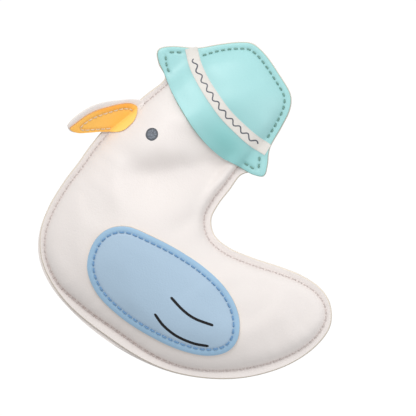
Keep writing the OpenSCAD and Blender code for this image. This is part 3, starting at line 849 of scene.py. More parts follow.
def bump_mark(centre, radii, height):
    centre = fit(centre)
    return height * oval((GRID_X - centre[0]) / radii[0], (GRID_Z - centre[1]) / radii[1])


def grid_spot(centre, radius):
    return np.exp(-0.5 * ((GRID_X - centre[0]) ** 2 + (GRID_Z - centre[1]) ** 2) / radius ** 2)


def outline_wave(count, phase):
    """Sine with this many waves round the body outline."""
    return np.sin(2 * np.pi * count * ARC / PERIMETER + phase)


swell = DRAWN_SWELL.copy()
sim_rise = simulate()
swell += 0.5 * sim_rise * smooth01(SWELL_IN / 2.5)
marks = (
    # the neck valley, and the crease behind it
    line_mark((-43, 78), (-7, 105.5), width=(5.6, 12.0), depth=7.6)
    + line_mark((0, 86), (-11, 64), width=3.4, depth=1.5),
    # under the low side of the brim
    line_mark((-27, 111.5), (3, 104.5), width=(9.5, 5.5), depth=4.4),
    # swells above and below the neck
    bump_mark((-34, 104), (13, 9), height=1.0) + bump_mark((-30, 76), (15, 9), height=0.6),
    # a faint crease on the body
    line_mark((8, 38), (19, 60), width=1.6, depth=0.28),
)
inner_fade = smooth01(SWELL_IN / 7.0)  # marks fade out towards the seam
for mark in marks:
    swell += inner_fade * mark
# Puckers start at the stitches and die out up the swell: (height, wave length).
PUCKERS = ((0.16, 7.1), (0.13, 10.7), (0.10, 16.3), (0.05, 4.9))
phases = np.random.RandomState(11).uniform(0, 2 * np.pi, 8)
pucker = sum(height * outline_wave(round(PERIMETER / length), phase)
             for (height, length), phase in zip(PUCKERS, phases))
swell += (pucker * (0.55 + 0.45 * outline_wave(5, phases[6])) * smooth01(SWELL_IN / 2.0)
          * np.exp(-np.maximum(SWELL_IN, 0) / 6.5))
swell = blur(np.maximum(swell, 0), 0.75)
# The rim is pressed flat at the stitches, and its two edges spring slightly apart.
flare = 0.28 * smooth01((FOOT - 1.6 - DIST) / 3.0)
SKIN_GRID = blur(1.05 + swell + flare, 0.6)
SKIN = Surface(SKIN_GRID)
UNDER = Surface(blur(SKIN_GRID, 1.3) + 0.05)          # what the upper layers rest on
# The hat spans the hollow at the foot of the swell where its two tips leave the head.
span = sum(grid_spot(at, radius)
           for at, radius in zip(fit([[-50.5, 139.0], [11.0, 117.0]]), (8.5, 5.5)))
span = np.clip(1.5 * span, 0, 1)
UNDER_HAT = Surface(blur(
    UNDER.grid + span * np.maximum(blur(SKIN_GRID, 3.4) + 0.15 - UNDER.grid, 0), 0.8))

# The rim waves a little out of its plane, and the two brim tips turn towards the front.
rim_wave = 0.34 * outline_wave(9, 1.0) + 0.2 * outline_wave(17, 2.2)
WAVE_GRID = blur(rim_wave * smooth01((6.0 - DIST) / 7.0), 2.0) + sum(
    turn * grid_spot(tip, 5.0)
    for tip, turn in zip(fit([[-61.0, 141.5], [15.0, 112.5]]), (-1.5, -1.1)))


# ------------------------------------------------------------------ stitches
def stitch_row(path, pitch, share=0.64, closed=False):
    """A row is (path, [(start, end) arc lengths of its stitches], closed).
    A stitch takes this share of the pitch."""
    total = arclen(path, closed)[-1]
    count = int(round(total / pitch))
    pitch = total / count
    spans = [(pitch * (i + (1 - share) / 2), pitch * (i + (1 + share) / 2)) for i in range(count)]
    return path, spans, closed


def part_of(loop, keep):
    """The longest run of a closed path where keep(points) is true, as an open path."""
    kept = keep(loop)
    count = len(loop)
    runs = []
    for start in (i for i in range(count) if kept[i] and not kept[i - 1]):
        end = start
        while kept[(end + 1) % count]:
            end += 1
        runs.append((end - start, start, end))
    _, start, end = max(runs)
    return loop[np.arange(start, end + 1) % count]


def grooved(points, rows, depth=0.32, width=0.75, groove_shade=0.12, hole=0.55):
    """Depth of the pressed stitch lines and needle holes, and the painted shade that darkens them."""
    dig = np.zeros(len(points))
    shade_and_dirt = np.zeros(len(points))
    for path, spans, closed in rows:
        line_dist = path_dist(points, path, closed)
        near = np.flatnonzero(line_dist < 4)
        if not len(near):
            continue
        line_dist = line_dist[near]
        dig[near] = np.maximum(dig[near], depth * bell(line_dist, width))
        # painted shade along the stitch groove
        shade_and_dirt[near] = np.maximum(shade_and_dirt[near], groove_shade * bell(line_dist, 0.9))
        holes = walk(path, np.array([end for span in spans for end in span]), closed)
        close = points[near]
        hole_dist = np.full(len(close), 1e9)
        for i in range(0, len(holes), 64):
            gap = np.sqrt(((close[:, None] - holes[i:i + 64][None]) ** 2).sum(2)).min(1)
            hole_dist = np.minimum(hole_dist, gap)
        dig[near] += 0.35 * bell(hole_dist, 0.38)
        # painted shade in the needle holes
        shade_and_dirt[near] = np.maximum(shade_and_dirt[near], hole * bell(hole_dist, 0.40))
    return dig, np.clip(shade_and_dirt, 0, 1)


def loop_stations(start, end, overrun, shoulder):
    """Seven arc lengths along one stitch, running a little past both holes."""
    length = end - start
    return np.array([start - overrun, start, start + shoulder * length, (start + end) / 2,
                     end - shoulder * length, end, end + overrun])


def arch(sunk, hole, shoulder, crown):
    """Heights at the seven stations of one stitch."""
    return np.array([sunk, hole, shoulder, crown, shoulder, hole, sunk])


def threads(rows, surface, base, side, lift, dig, bend=True):
    """Thread loops over each stitch, their ends diving into the needle holes."""
    loops = []
    for path, spans, closed in rows:
        for start, end in spans:
            plan = walk(path, loop_stations(start, end, overrun=0.12, shoulder=0.18), closed)
            height = arch(-0.45, -0.1, lift * 0.8, lift) - dig
            verts, _ = surface.point(plan, base + height)
            if bend:
                verts[:, 1] += sample(WAVE_GRID, verts[:, ::2])
            loops.append(mirrored(verts) if side < 0 else verts)
    return loops


def thread_piece(name, loops, radius, material):
    return make(name, *tubes(loops, radius), [material])


# ------------------------------------------------------------------ joints
# The beak's frame: along goes up the face, out goes away from it.
BEAK_JOINT = JOINTS["beak_flex"]
BEAK_POS = Vector(BEAK_JOINT["pos_m"])
BEAK_MID = np.array([BEAK_JOINT["pos_m"][0], BEAK_JOINT["pos_m"][2]]) / MM
BEAK_AXIS = np.array([BEAK_JOINT["axis"][0], BEAK_JOINT["axis"][2]])
AXIS_OUT = np.array([-BEAK_AXIS[1], BEAK_AXIS[0]])
BEAK_ALONG = BEAK_AXIS / np.linalg.norm(BEAK_AXIS)
BEAK_OUT = np.array([-BEAK_ALONG[1], BEAK_ALONG[0]])
beak_way = Vector((BEAK_OUT[0], 0, BEAK_OUT[1]))
BEAK_BLEND = ("head", "beak", BEAK_POS + beak_way * (-3.0 * MM), BEAK_POS + beak_way * (1.5 * MM))

NECK_JOINT = JOINTS["neck_flex"]
NECK_POS = Vector(NECK_JOINT["pos_m"])
neck_way = Vector((-NECK_JOINT["axis"][2], 0, NECK_JOINT["axis"][0])).normalized()
NECK_BLEND = ("torso", "head", NECK_POS - neck_way * 0.014, NECK_POS + neck_way * 0.010)

# ------------------------------------------------------------------ skin panels
EDGE_ROW = stitch_row(even(shifted(BODY, STITCH_IN + RIM_SHIFT, True), 0.5, True), EDGE_PITCH,
                      closed=True)


def near_seam(points):
    depth = sample(DIST, points)
    return (depth > 1.4) & (depth < 7.6)


# The front panel is cut in a little and the rear one out. Both are cut back at the root of
# the beak and under the rear tip of the brim.
cut_x, cut_z = CUT[:, 0], CUT[:, 1]
front_in = (1.2 * smooth01((20 - cut_z) / 12) * bell(cut_x + 12, 17.0)
            + 0.5 * smooth01((40 - cut_z) / 20) * smooth01((-35 - cut_x) / 20))
rear_out = 0.25 + 0.45 * smooth01((40 - cut_z) / 30) * smooth01((30 - cut_x) / 60)
root = (CUT - BEAK_MID) @ BEAK_AXIS
root_in = (3.0 * smooth01((root + 9.0) / 2.0) * smooth01((8.2 - root) / 2.0)
           * (((CUT - BEAK_MID) @ AXIS_OUT) > -6))
under_tip = 1.5 * np.exp(-0.5 * ((CUT - fit([9.6, 109.8])) ** 2).sum(1) / 3.2 ** 2)
front_in = front_in + root_in + under_tip
rear_out = rear_out - root_in - under_tip
skins = {}
for (side, tag), cut_in in zip(SIDES, (front_in, -rear_out)):
    plan, tris = plan_mesh(even(shifted(CUT, cut_in, True), 0.7, True), 1.35, near_seam, 0.68)
    dig, shade_and_dirt = grooved(plan, [EDGE_ROW])
    # the painted shade along the seam is stronger towards the bottom of the belly
    low = smooth01((26 - plan[:, 1]) / 16) * smooth01((40 - plan[:, 0]) / 30)
    shade_and_dirt = np.clip(shade_and_dirt * (1 + 1.6 * low), 0, 1)
    outer, normals = SKIN.point(plan, -dig)
    # the rear is mirrored later, so the sign makes both panels wave together
    outer[:, 1] += side * sample(WAVE_GRID, outer[:, ::2] if side > 0 else plan)
    skins[tag] = sheet_piece("skin_" + tag, plan, tris, outer, normals, SHEET_THICK,
                             [WHITE, CUT_EDGE], side, {"shade_and_dirt": shade_and_dirt})

# ------------------------------------------------------------------ hat
HAT_LIFT = 1.22       # outer face of the hat above what it rests on
HAT_STEPS = 24        # spline steps in each span of the hat's edge
hat_top = fit(spline(TORSO + HEAD_CUT, HAT_STEPS))[
    (len(TORSO) + HAT_FIRST) * HAT_STEPS:(len(TORSO) + HAT_LAST) * HAT_STEPS + 1]
hat_top = shifted(hat_top, 0.12)
brim = fit(spline(BRIM, 12, closed=False))
hat_loop = even(np.vstack([hat_top[:-6], brim[:-6]]), 0.7, True)
round_off = np.array([1, 4, 6, 4, 1.0]) / 16
hat_loop = sum(weight * np.roll(hat_loop, i - 2, 0) for i, weight in enumerate(round_off))
brim_edge = even(brim, 0.7)
band_mid = even(fit(spline(BAND, 12, closed=False)), 0.6)


def on_crown(points):
    return (inside(points, hat_loop) & (path_dist(points, hat_loop, True) > 1.2)
            & (path_dist(points, band_mid) > BAND_WIDTH / 2 + 1.0) & (points[:, 1] > 126))


# Short rows at the two brim tips.
TIP_ROWS = ([[-51.8, 134.6], [-54.9, 137.4], [-58.0, 141.6]],
            [[-57.4, 143.6], [-54.0, 145.6], [-51.0, 147.0]],
            [[8.6, 120.2], [10.6, 116.4], [11.6, 113.6]],
            [[9.9, 112.7], [6.4, 113.1], [3.2, 113.2]])
crown_path = part_of(even(shifted(BODY, 3.4, True), 0.5, True), on_crown)
hat_rows = [stitch_row(crown_path, 3.2, share=0.42)]
hat_rows += [stitch_row(even(fit(spline(row, 10, closed=False)), 0.4), 3.1, share=0.44)
             for row in TIP_ROWS]


def hat_lift(points):
    """The brim stands off the head along its lower edge, and the band nips the hat."""
    band_dist = path_dist(points, band_mid)
    fade = smooth01((sample(DIST, points) - 2.5) / 6.0)
    return fade * (0.9 * np.exp(-path_dist(points, brim_edge) / 3.5)
                   - 0.35 * bell(band_dist, 4.0) + 0.35 * bell(band_dist - 9.5, 4.0))


def hat_point(plan, lift, side):
    """Points over the hat's base, waving with the rim, and the normals."""
    outer, normals = UNDER_HAT.point(plan, lift)
    outer[:, 1] += sample(WAVE_GRID, plan) * side
    return outer, normals


for side, tag in SIDES:
    plan, tris = plan_mesh(hat_loop, 1.3, lambda points: sample(DIST, points) < 7.0, 0.62)
    dig, shade_and_dirt = grooved(plan, hat_rows, depth=0.28, groove_shade=0.1, hole=0.42)
    edge_dist = path_dist(plan, hat_loop, True)
    band_side = path_dist(plan, band_mid) - BAND_WIDTH / 2
    # painted shade on the hat along both edges of the band
    shade_and_dirt = np.maximum(shade_and_dirt, 0.10 * bell(band_side, 1.2))
    # painted shade low on the back of the brim, and a dye a little deeper along the cut edge
    offset = plan - fit([-9.5, 117.6])
    dye_and_shade = (0.62 * oval((offset @ np.array([0.93, -0.36])) / 11.0,
                        (offset @ np.array([0.36, 0.93])) / 7.5)
            + 0.10 * np.exp(-edge_dist / 1.6))
    outer, normals = hat_point(
        plan, HAT_LIFT + hat_lift(plan) - dig - 0.25 * np.exp(-edge_dist / 0.35), side)
    piece = sheet_piece("hat_" + tag + "_sheet", plan, tris, outer, normals, SHEET_THICK,
                        [AQUA, AQUA_EDGE], side, {"shade_and_dirt": shade_and_dirt, "dye_and_shade": dye_and_shade})
    register(piece, "aqua_sheet", "hat_" + tag, ride="head")


# ------------------------------------------------------------------ hat band
def ribbon_loop(path, width):
    return np.vstack([shifted(path, width / 2), shifted(path, -width / 2)[::-1]])


TAPE_LIFT = 0.38
PRINT_LIFT = 0.05     # ink above the face it is printed on
band_len = arclen(band_mid)[-1]
tape = even(walk(band_mid, np.linspace(0.4, band_len - 0.2, 120)), 0.6)
for side, tag in SIDES:
    plan, tris = plan_mesh(even(ribbon_loop(tape, BAND_WIDTH), 0.6, True), 0.8)
    mid_dist = path_dist(plan, tape)
    # the tape is darker towards its two edges
    shade_and_dirt = 0.25 * smooth01((mid_dist - BAND_WIDTH / 2 + 0.5) / 0.5)
    outer, normals = hat_point(
        plan, HAT_LIFT + hat_lift(plan) + TAPE_LIFT - 0.1 * smooth01((mid_dist - 2.4) / 0.7), side)
    piece = sheet_piece("band_" + tag, plan, tris, outer, normals, 0.36, [TAPE, TAPE], side,
                        {"shade_and_dirt": shade_and_dirt})
    register(piece, "band_tape", "hat_band_" + tag, ride="head")
    # the printed wave
    arc = np.linspace(6.5, band_len - 7.0, 340)
    waves = round((arc[-1] - arc[0]) / 5.6)
    sway = 0.95 * np.sin(2 * np.pi * waves * (arc - arc[0]) / (arc[-1] - arc[0]))
    wavy = shifted(walk(band_mid, arc), sway)
    plan, tris = plan_mesh(ribbon_loop(even(wavy, 0.35), 0.62), 0.6)
    outer, normals = hat_point(plan, HAT_LIFT + hat_lift(plan) + TAPE_LIFT + PRINT_LIFT, side)
    piece = sheet_piece("band_wave_" + tag, plan, tris, outer, normals, 0.09,
                        [WAVE_INK, WAVE_INK], side, {"shade_and_dirt": np.zeros(len(plan))})
    register(piece, "grey_ink", ride="head")

hat_loops = []
for side, _ in SIDES:
    hat_loops += threads(hat_rows, UNDER_HAT, HAT_LIFT, side, lift=0.26, dig=0.22)
piece = thread_piece("hat_thread", hat_loops, 0.42, GREEN_THREAD)
register(piece, "green_thread", "hat_edge_stitching", ride="head")

# ------------------------------------------------------------------ wings
WING_LIFT = 1.15
wing_loop = even(fit(spline(WING, 24)), 0.7, True)
wing_rows = [stitch_row(even(shifted(wing_loop, 3.1, True), 0.5, True), 3.35, share=0.56,
                        closed=True)]


def wing_edge(points):
    return path_dist(points, wing_loop, True)


def wing_puff(points):
    edge_dist = wing_edge(points)
    return (0.35 * smooth01((edge_dist - 3.2) / 8.0) - 0.14 * np.exp(-edge_dist / 0.35)
            + 0.08 * bell(edge_dist - 1.5, 0.8))


def feather_mesh():
    """Plan mesh of the printed feather lines, blunt at their ends."""
    plans, tri_sets, base = [], [], 0
    for stations in FEATHERS:
        path = even(fit(spline(stations, 16, closed=False)), 0.5)
        part = np.linspace(0, 1, len(path))
        width = 1.3 * np.sqrt(np.clip(1 - (2 * part - 1) ** 40, 0.2, 1))
        plan, tris = plan_mesh(ribbon_loop(path, width), 0.7)
        plans.append(plan)
        tri_sets.append(tris + base)
        base += len(plan)
    return np.vstack(plans), np.vstack(tri_sets)


for side, tag in SIDES:
    plan, tris = plan_mesh(wing_loop, 1.3, lambda points: wing_edge(points) < 5.0, 0.6)
    dig, shade_and_dirt = grooved(plan, wing_rows, depth=0.22, width=0.7, groove_shade=0.05, hole=0.32)
    dye_and_shade = smooth01((3.7 - wing_edge(plan)) / 1.2)
    outer, normals = UNDER.point(plan, WING_LIFT + wing_puff(plan) - dig)
    piece = sheet_piece("wing_" + tag + "_sheet", plan, tris, outer, normals, SHEET_THICK,
                        [BLUE, BLUE_EDGE], side, {"shade_and_dirt": shade_and_dirt, "dye_and_shade": dye_and_shade})
    register(piece, "blue_sheet", "wing_" + tag, ride="torso")
    loops = threads(wing_rows, UNDER, WING_LIFT, side, lift=0.26, dig=0.2, bend=False)
    piece = thread_piece("wing_" + tag + "_thread", loops, 0.38, BLUE_THREAD)
    register(piece, "blue_thread", "wing_" + tag + "_stitching", ride="torso")
    plan, tris = feather_mesh()
    outer, normals = UNDER.point(plan, WING_LIFT + wing_puff(plan) + PRINT_LIFT)
    piece = sheet_piece("feather_lines_" + tag, plan, tris, outer, normals, 0.1,
                        [BLACK_INK, BLACK_INK], side, {"shade_and_dirt": np.zeros(len(plan))})
    register(piece, "black_ink", "wing_" + tag + "_print", ride="torso")


# ------------------------------------------------------------------ eyes
def box_centre(lo, hi):
    return np.array([(lo.x + hi.x) / 2, (lo.z + hi.z) / 2]) / MM


for side, tag in SIDES:
    lo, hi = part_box("eye_" + tag)
    radii = np.array([hi.x - lo.x, hi.z - lo.z]) / 2 / MM * 0.95
    angle = circle_angles(56)
    loop = box_centre(lo, hi) + (np.stack([radii[0] * np.sin(angle), radii[1] * np.cos(angle)], 1)
                                 * (1 + 0.012 * np.sin(5 * angle + 1))[:, None])
    plan, tris = plan_mesh(loop, 0.6)
    outer, normals = SKIN.point(plan, PRINT_LIFT)
    # the darker rim is part of the printed eye
    dark_rim = 0.8 * smooth01((1.3 - path_dist(plan, loop, True)) / 1.1)
    piece = sheet_piece("eye_" + tag + "_print", plan, tris, outer, normals, 0.1,
                        [GREY_INK, GREY_INK], side, {"shade_and_dirt": dark_rim})
    register(piece, "grey_ink", "eye_" + tag, ride="head")

# ------------------------------------------------------------------ beak
# Patterns in mm in the beak's frame: [along the face, outwards].
BEAK_SHEET = [[9.9, -1.2], [9.7, 2.2], [7.6, 6.4], [4, 10.0], [-1.4, 13.8], [-7.2, 16.8],
              [-13.4, 18.6], [-19.5, 19.0], [-23.6, 18.8], [-21.8, 13.7], [-17.0, 8.2],
              [-12.4, 3.2], [-9.2, -1.4], [-7.9, -3.4], [-4.7, -5.8], [-1.1, -6.6], [4.1, -6.1],
              [7.7, -4.2]]
BEAK_BACKING = [[13.6, -2.6], [12.3, 1.6], [9.6, 5.6], [5.4, 10.2], [0.2, 14.8], [-6.4, 18.6],
                [-13.2, 20.8], [-19.6, 21.2], [-23.9, 19.6], [-23.2, 15.0], [-17.8, 9.0],
                [-13.0, 3.6], [-10.0, -0.8], [-8.6, -3.6], [-6.5, -4.8], [2, -5.0], [8.0, -4.4]]
BEAK_ROW = [[6.9, -0.6], [6.4, 2.4], [3.4, 6.4], [-1.6, 10.0], [-7.0, 13.2], [-12.6, 15.2],
            [-18.4, 15.5], [-18.9, 13.2], [-14.8, 8.6], [-10.6, 3.8], [-7.2, 0.2]]
BEAK_LIFT = 2.05      # outer face from the middle of the beak
BACKING_LIFT = 1.0
CREASE = -3.4         # where the flap starts to bend, outwards

# The bend of the flap towards the front, and its place, tabled against the flat distance out.
FLAT_OUT = np.linspace(-14, 30, 881)
BEND = (math.radians(32) * smooth01((FLAT_OUT - CREASE) / 3.6)
        + math.radians(9) * smooth01((FLAT_OUT - 6) / 14.0))
flat_step = FLAT_OUT[1] - FLAT_OUT[0]
crease_at = np.searchsorted(FLAT_OUT, CREASE)
BENT_OUT = np.cumsum(np.cos(BEND)) * flat_step
BENT_OUT = BENT_OUT - BENT_OUT[crease_at] + FLAT_OUT[crease_at]
BENT_FORWARD = np.cumsum(np.sin(BEND)) * flat_step
BENT_FORWARD = BENT_FORWARD - BENT_FORWARD[crease_at]


def cup(along, out):
    """Slight curl of the flap across its length, so that it is not a flat card."""
    return (0.9 * np.sin((along + 6) / 16.0 * 1.4) * smooth01((out - 1) / 8.0)
            - 0.045 * smooth01((out - 2) / 6) * np.clip(-along - 8, 0, 20))


def beak_place(pattern, lift):
    """Points of the flat pattern at a distance in front of the beak's middle."""
    along, out = pattern[:, 0], pattern[:, 1]
    lift = np.broadcast_to(lift, (len(pattern),))
    bend = np.interp(out, FLAT_OUT, BEND)
    bent_out = np.interp(out, FLAT_OUT, BENT_OUT)
    forward = np.interp(out, FLAT_OUT, BENT_FORWARD)
    plan = (BEAK_MID + along[:, None] * BEAK_ALONG
            + (bent_out - lift * np.sin(bend))[:, None] * BEAK_OUT)
    y = -(forward + lift * np.cos(bend)) - cup(along, out)
    # past the crease the flap is free; behind it the sheet lies on the cheek
    on_cheek = 1 - smooth01((out + 3.8) / 2.6)
    cheek = np.maximum(sample(UNDER.grid, plan) - 1.05, 0)
    y = y - on_cheek * cheek * np.where(lift >= 0, 1, -1)
    y = y + sample(WAVE_GRID, plan) * on_cheek
    return np.stack([plan[:, 0], y, plan[:, 1]], 1)


def beak_sheet(name, loop, rows, lift, thick, materials, side):
    """A beak layer with its outer face at lift from the middle."""
    plan, tris = plan_mesh(loop, 0.7)
    # strong painted shade in the needle holes of the beak
    dig, shade_and_dirt = grooved(plan, rows, depth=0.26, width=0.7, groove_shade=0.1, hole=0.9)
    edge_dist = path_dist(plan, loop, True)
    outer = beak_place(plan, side * (lift - dig - 0.18 * np.exp(-edge_dist / 0.4)))
    inner = beak_place(plan, side * (lift - thick))
    # the pattern may be mirrored in the plan, so facing is settled from the built mesh
    facing = np.cross(outer[tris[:, 1]] - outer[tris[:, 0]], outer[tris[:, 2]] - outer[tris[:, 0]])
    if side * facing[:, 1].sum() > 0:
        tris = tris[:, ::-1]
    # the dye is deeper along the margin outside the stitches
    dye_and_shade = (0.9 * np.exp(-(edge_dist / 2.6) ** 2) * smooth01((plan[:, 1] - 0.5) / 2.5)
            * smooth01((plan[:, 0] + 0.8 * plan[:, 1]) / 5.0))
    return shell(name, plan, tris, outer, inner, materials, {"shade_and_dirt": shade_and_dirt, "dye_and_shade": dye_and_shade},
                 through=("dye_and_shade",))


def reach(pattern):
    """The flap is shorter than its drawn pattern, most of all near its root."""
    pattern = np.asarray(pattern, float).copy()
    drawn = pattern[:, 1]
    share = 0.76 + 0.065 * smooth01((drawn - 11) / 8)
    pattern[:, 1] = np.where(drawn > -3, -3 + np.maximum(drawn + 3, 0) * share, drawn)
    return pattern


beak_path = even(spline(reach(BEAK_ROW), 12, closed=False), 0.4)
beak_row = stitch_row(beak_path, 2.9, share=0.6)
sheet_loop, backing_loop = (even(spline(reach(pattern), 10), 0.5, True)
                            for pattern in (BEAK_SHEET, BEAK_BACKING))
# 1 where the loop's right-hand side is its inside
inward = 1 if inside(shifted(backing_loop, 0.5, True), backing_loop).mean() > 0.5 else -1
outwards = -rights(backing_loop, True) * inward
# the backing shows more on its upper outer edge
widen = 0.9 * np.clip(outwards @ np.array([0.55, 0.84]), 0, 1)
backing_loop = backing_loop + outwards * widen[:, None]
for side, tag in SIDES:
    piece = beak_sheet("beak_" + tag + "_sheet", sheet_loop, [beak_row], BEAK_LIFT, SHEET_THICK,
                       [ORANGE, ORANGE_EDGE], side)
    register(piece, "orange_sheet", "beak_" + tag, "beak_root_" + tag, blend=BEAK_BLEND)
    # the rear backing is cut smaller, so that only a thin line of it shows past the front one
    loop = backing_loop if side > 0 else shifted(backing_loop, 0.5 * inward, True)
    piece = beak_sheet("beak_" + tag + "_backing", loop, [], BACKING_LIFT, 0.93,
                       [WHITE, WHITE if side > 0 else CUT_EDGE], side)
    register(piece, "white_sheet", "beak_lining_" + tag, blend=BEAK_BLEND)
beak_loops = []
for side, _ in SIDES:
    for start, end in beak_row[1]:
        places = walk(beak_path, loop_stations(start, end, overrun=0.1, shoulder=0.2))
        height = arch(-0.5, -0.08, 0.22, 0.28) - 0.24
        beak_loops.append(beak_place(places, side * (BEAK_LIFT + height)))
piece = thread_piece("beak_thread", beak_loops, 0.34, PEACH_THREAD)
register(piece, "peach_thread", "beak_stitching", blend=BEAK_BLEND)

# ------------------------------------------------------------------ edge thread
# Stitches under the beak and the hat are left out.
edge_path, edge_spans, _ = EDGE_ROW
middles = walk(edge_path, np.array([(start + end) / 2 for start, end in edge_spans]), True)
from_beak = middles - BEAK_MID
hidden = (((np.abs(from_beak @ BEAK_ALONG) < 9.5) & (from_beak @ BEAK_OUT > -8))
          | inside(middles, hat_loop))
shown = [span for span, hide in zip(edge_spans, hidden) if not hide]
edge_loops = []
for side, _ in SIDES:
    edge_loops += threads([(edge_path, shown, True)], SKIN, 0.0, side, lift=0.2, dig=0.32)
piece = thread_piece("edge_thread", edge_loops, 0.26, WHITE_THREAD)
register(piece, "white_thread", "torso_edge_stitching", "head_edge_stitching", blend=NECK_BLEND)
for tag, piece in skins.items():
    register(piece, "white_sheet", "torso_" + tag + "_panel", "head_" + tag + "_panel",
             blend=NECK_BLEND)

# ------------------------------------------------------------------ fibre filling
plan, tris = plan_mesh(even(shifted(BODY, FOOT_IN + 1.4, True), 2.0, True), 3.2)
lump = np.random.RandomState(5).normal(0, 0.12, len(plan))
height = np.maximum(sample(SKIN_GRID, plan) - 2.4 + lump, 0.3)
height[on_border(tris, len(plan))] = 0.3
piece = closed_bag("fibre_filling", plan, tris, height, FIBRE)
register(piece, "fibre", "torso_filling_front", "torso_filling_rear", "head_filling",
         blend=NECK_BLEND)

# ------------------------------------------------------------------ sand pouch
# Two round cloth leaves with a puckered rim, sewn round the sand.
pouch_lo, pouch_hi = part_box("pouch_front")
POUCH_MID = box_centre(pouch_lo, pouch_hi)
POUCH_OUT = (pouch_hi.x - pouch_lo.x) / 2 / MM
POUCH_IN = POUCH_OUT - 3.4            # radius of the filled part
POUCH_TOP = -pouch_lo.y / MM - 1.2
LEAF_LIFT = 0.42                      # leaf's outer face above the pouch's swell
SEAM_RADIUS = POUCH_IN + 1.6
PLEATS = 24
POUCH_STITCHES = 46
lump_draws = np.random.RandomState(8)
# Each lump is (direction, distance from the middle, width, height).
lumps = [(lump_draws.uniform(0, 2 * np.pi), lump_draws.uniform(4, 19), lump_draws.uniform(3, 6),
          lump_draws.uniform(-0.5, 0.35)) for _ in range(14)]


def pouch_height(points):
    offset = points - POUCH_MID
    radius = np.linalg.norm(offset, axis=1)
    angle = np.arctan2(offset[:, 1], offset[:, 0])
    dome = np.clip(1 - (radius / POUCH_IN) ** 2, 0, 1) ** 0.75
    height = POUCH_TOP * dome
    for way, distance, width, rise in lumps:
        centre = distance * np.array([np.cos(way), np.sin(way)])
        height = height + (rise * np.exp(-((offset - centre) ** 2).sum(1) / (2 * width * width))
                           * np.clip(dome * 2, 0, 1))
    pleat = (0.3 * np.sin(PLEATS * angle + 0.6 * np.sin(3 * angle))
             * bell(radius - POUCH_IN + 2.5, 2.4))
    return np.maximum(height + pleat, 0)


angle = circle_angles(150)
circle = np.stack([np.sin(angle), np.cos(angle)], 1)
leaf_loop = POUCH_MID + circle * (POUCH_OUT * (1 - 0.006 * np.sin(PLEATS * angle)))[:, None]
for side, tag in SIDES:
    plan, tris = plan_mesh(leaf_loop, 1.6)
    normals = front_normals(pouch_height, plan, 0.3)
    outer = np.stack([plan[:, 0], -(pouch_height(plan) + LEAF_LIFT), plan[:, 1]], 1)
    radius = np.linalg.norm(plan - POUCH_MID, axis=1)
    # the leaf is darker along its seam line
    piece = sheet_piece("pouch_" + tag + "_leaf", plan, tris, outer, normals, 0.35,
                        [POUCH_CLOTH, POUCH_CLOTH], side,
                        {"shade_and_dirt": 0.4 * bell(radius - SEAM_RADIUS, 0.5)}, slant=0.0)
    register(piece, "pouch_cloth", "pouch_" + tag, ride="torso")

plan, tris = plan_mesh(even(POUCH_MID + circle * (POUCH_IN - 0.9), 1.6, True), 1.8)
height = np.maximum(pouch_height(plan) - 0.5, 0.05)
roughen = np.random.RandomState(3).normal(0, 0.06, len(height))
height = height + roughen * np.clip(height - 0.5, 0, 1)
height[on_border(tris, len(plan))] = 0.06
piece = closed_bag("sand_grains", plan, tris, height, SAND)
register(piece, "sand", "sand_fill", ride="torso")

pouch_loops = []
for side, _ in SIDES:
    for i in range(POUCH_STITCHES):
        start = (i + 0.2) * 2 * np.pi / POUCH_STITCHES
        end = (i + 0.8) * 2 * np.pi / POUCH_STITCHES
        angle = np.array([start - 0.01, start, (start * 3 + end) / 4, (start + end) / 2,
                          (start + end * 3) / 4, end, end + 0.01])
        height = LEAF_LIFT + arch(-0.3, 0.0, 0.14, 0.17)
        pouch_loops.append(np.stack([POUCH_MID[0] + SEAM_RADIUS * np.cos(angle), -side * height,
                                     POUCH_MID[1] + SEAM_RADIUS * np.sin(angle)], 1))
piece = thread_piece("pouch_thread", pouch_loops, 0.17, WHITE_THREAD)
register(piece, "white_thread", "pouch_stitching", ride="torso")

# ------------------------------------------------------------------ floor (metres from here on)
for name in ("Cube", "Light", "Camera"):
    if name in bpy.data.objects:
        bpy.data.objects.remove(bpy.data.objects[name])
scene = bpy.context.scene
FLOOR_HALF = 6.0
floor_mesh = bpy.data.meshes.new("floor")
floor_mesh.from_pydata([(x * FLOOR_HALF, y * FLOOR_HALF, 0)
                        for x, y in ((-1, -1), (1, -1), (1, 1), (-1, 1))], [], [(0, 1, 2, 3)])
floor = bpy.data.objects.new("floor", floor_mesh)
scene.collection.objects.link(floor)
floor.location.z = CAD_BOX[0][2] - 0.0002
floor_material, floor_tree, floor_bsdf = new_material("floor_white")
adjust(floor_tree, floor_bsdf, Base_Color=(0.88, 0.88, 0.88, 1), Roughness=0.9,
       Specular_IOR_Level=0.1)
floor_mesh.materials.append(floor_material)
floor.visible_diffuse = False
floor.visible_glossy = False

# ------------------------------------------------------------------ lights
# The camera looks at the front, rolled about Y; the lights are placed in its frame.
ROLL = math.radians(29)
RIGHT = Vector((math.cos(ROLL), 0, math.sin(ROLL)))
UP = Vector((-math.sin(ROLL), 0, math.cos(ROLL)))
TOWARD = Vector((0, -1, 0))
CENTRE = Vector([(hi + lo) / 2 for lo, hi in zip(*CAD_BOX)])


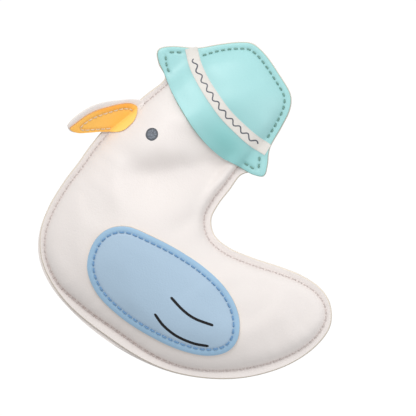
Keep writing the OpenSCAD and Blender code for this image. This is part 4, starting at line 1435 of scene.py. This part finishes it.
def area_light(name, direction, distance, size, power, color=(1, 1, 1)):
    """Disk light aimed at the centre."""
    light = bpy.data.lights.new(name, "AREA")
    light.shape = "DISK"
    light.size = size
    light.energy = power
    light.color = color
    lamp = bpy.data.objects.new(name, light)
    direction = direction.normalized()
    lamp.location = CENTRE + direction * distance
    lamp.rotation_euler = direction.to_track_quat("Z", "Y").to_euler()
    scene.collection.objects.link(lamp)


area_light("key", RIGHT * -0.18 + UP * 0.72 + TOWARD * 0.95, distance=0.75, size=0.45,
           power=1.98, color=(1.0, 0.985, 0.97))
area_light("fill", RIGHT * 1.0 - UP * 0.12 + TOWARD * 0.6, distance=0.9, size=0.7,
           power=1.5, color=(0.97, 0.985, 1.0))
area_light("back", RIGHT * 0.3 + UP * 0.6 - TOWARD * 0.9, distance=0.9, size=0.6, power=1.6)

# ------------------------------------------------------------------ world
# White, brighter from above; the camera sees an even backdrop.
world = bpy.data.worlds.new("studio")
scene.world = world
world.use_nodes = True
tree = world.node_tree
sky = tree.nodes["Background"]
coords = node(tree, "TexCoord")
bright_way = tuple((RIGHT * -0.12 + UP * 0.9 + TOWARD * 0.2).normalized())
facing = vector_math(tree, "DOT_PRODUCT", coords.outputs["Generated"], bright_way)
strength = node(tree, "MapRange", From_Min=-0.9, From_Max=0.9, To_Min=0.46, To_Max=0.74,
                Value=facing.outputs["Value"])
adjust(tree, sky, Color=(1, 1, 1, 1), Strength=strength.outputs["Result"])
backdrop = node(tree, "Background", Color=(1, 1, 1, 1), Strength=1.05)
light_path = node(tree, "LightPath")
choice = node(tree, "MixShader")
for i, output in enumerate((light_path.outputs["Is Camera Ray"], sky.outputs[0],
                            backdrop.outputs[0])):
    tree.links.new(output, choice.inputs[i])
tree.links.new(choice.outputs[0], tree.nodes["World Output"].inputs["Surface"])

# ------------------------------------------------------------------ camera
camera_data = bpy.data.cameras.new("photo_view")
camera_data.type = "ORTHO"
camera_data.ortho_scale = 0.212
camera_data.clip_end = 10
camera = bpy.data.objects.new("photo_view", camera_data)
turn = Matrix((RIGHT, UP, TOWARD)).transposed().to_4x4()
camera.matrix_world = Matrix.Translation(CENTRE + TOWARD * 1.2) @ turn
scene.collection.objects.link(camera)
scene.camera = camera
scene.view_settings.view_transform = "Standard"
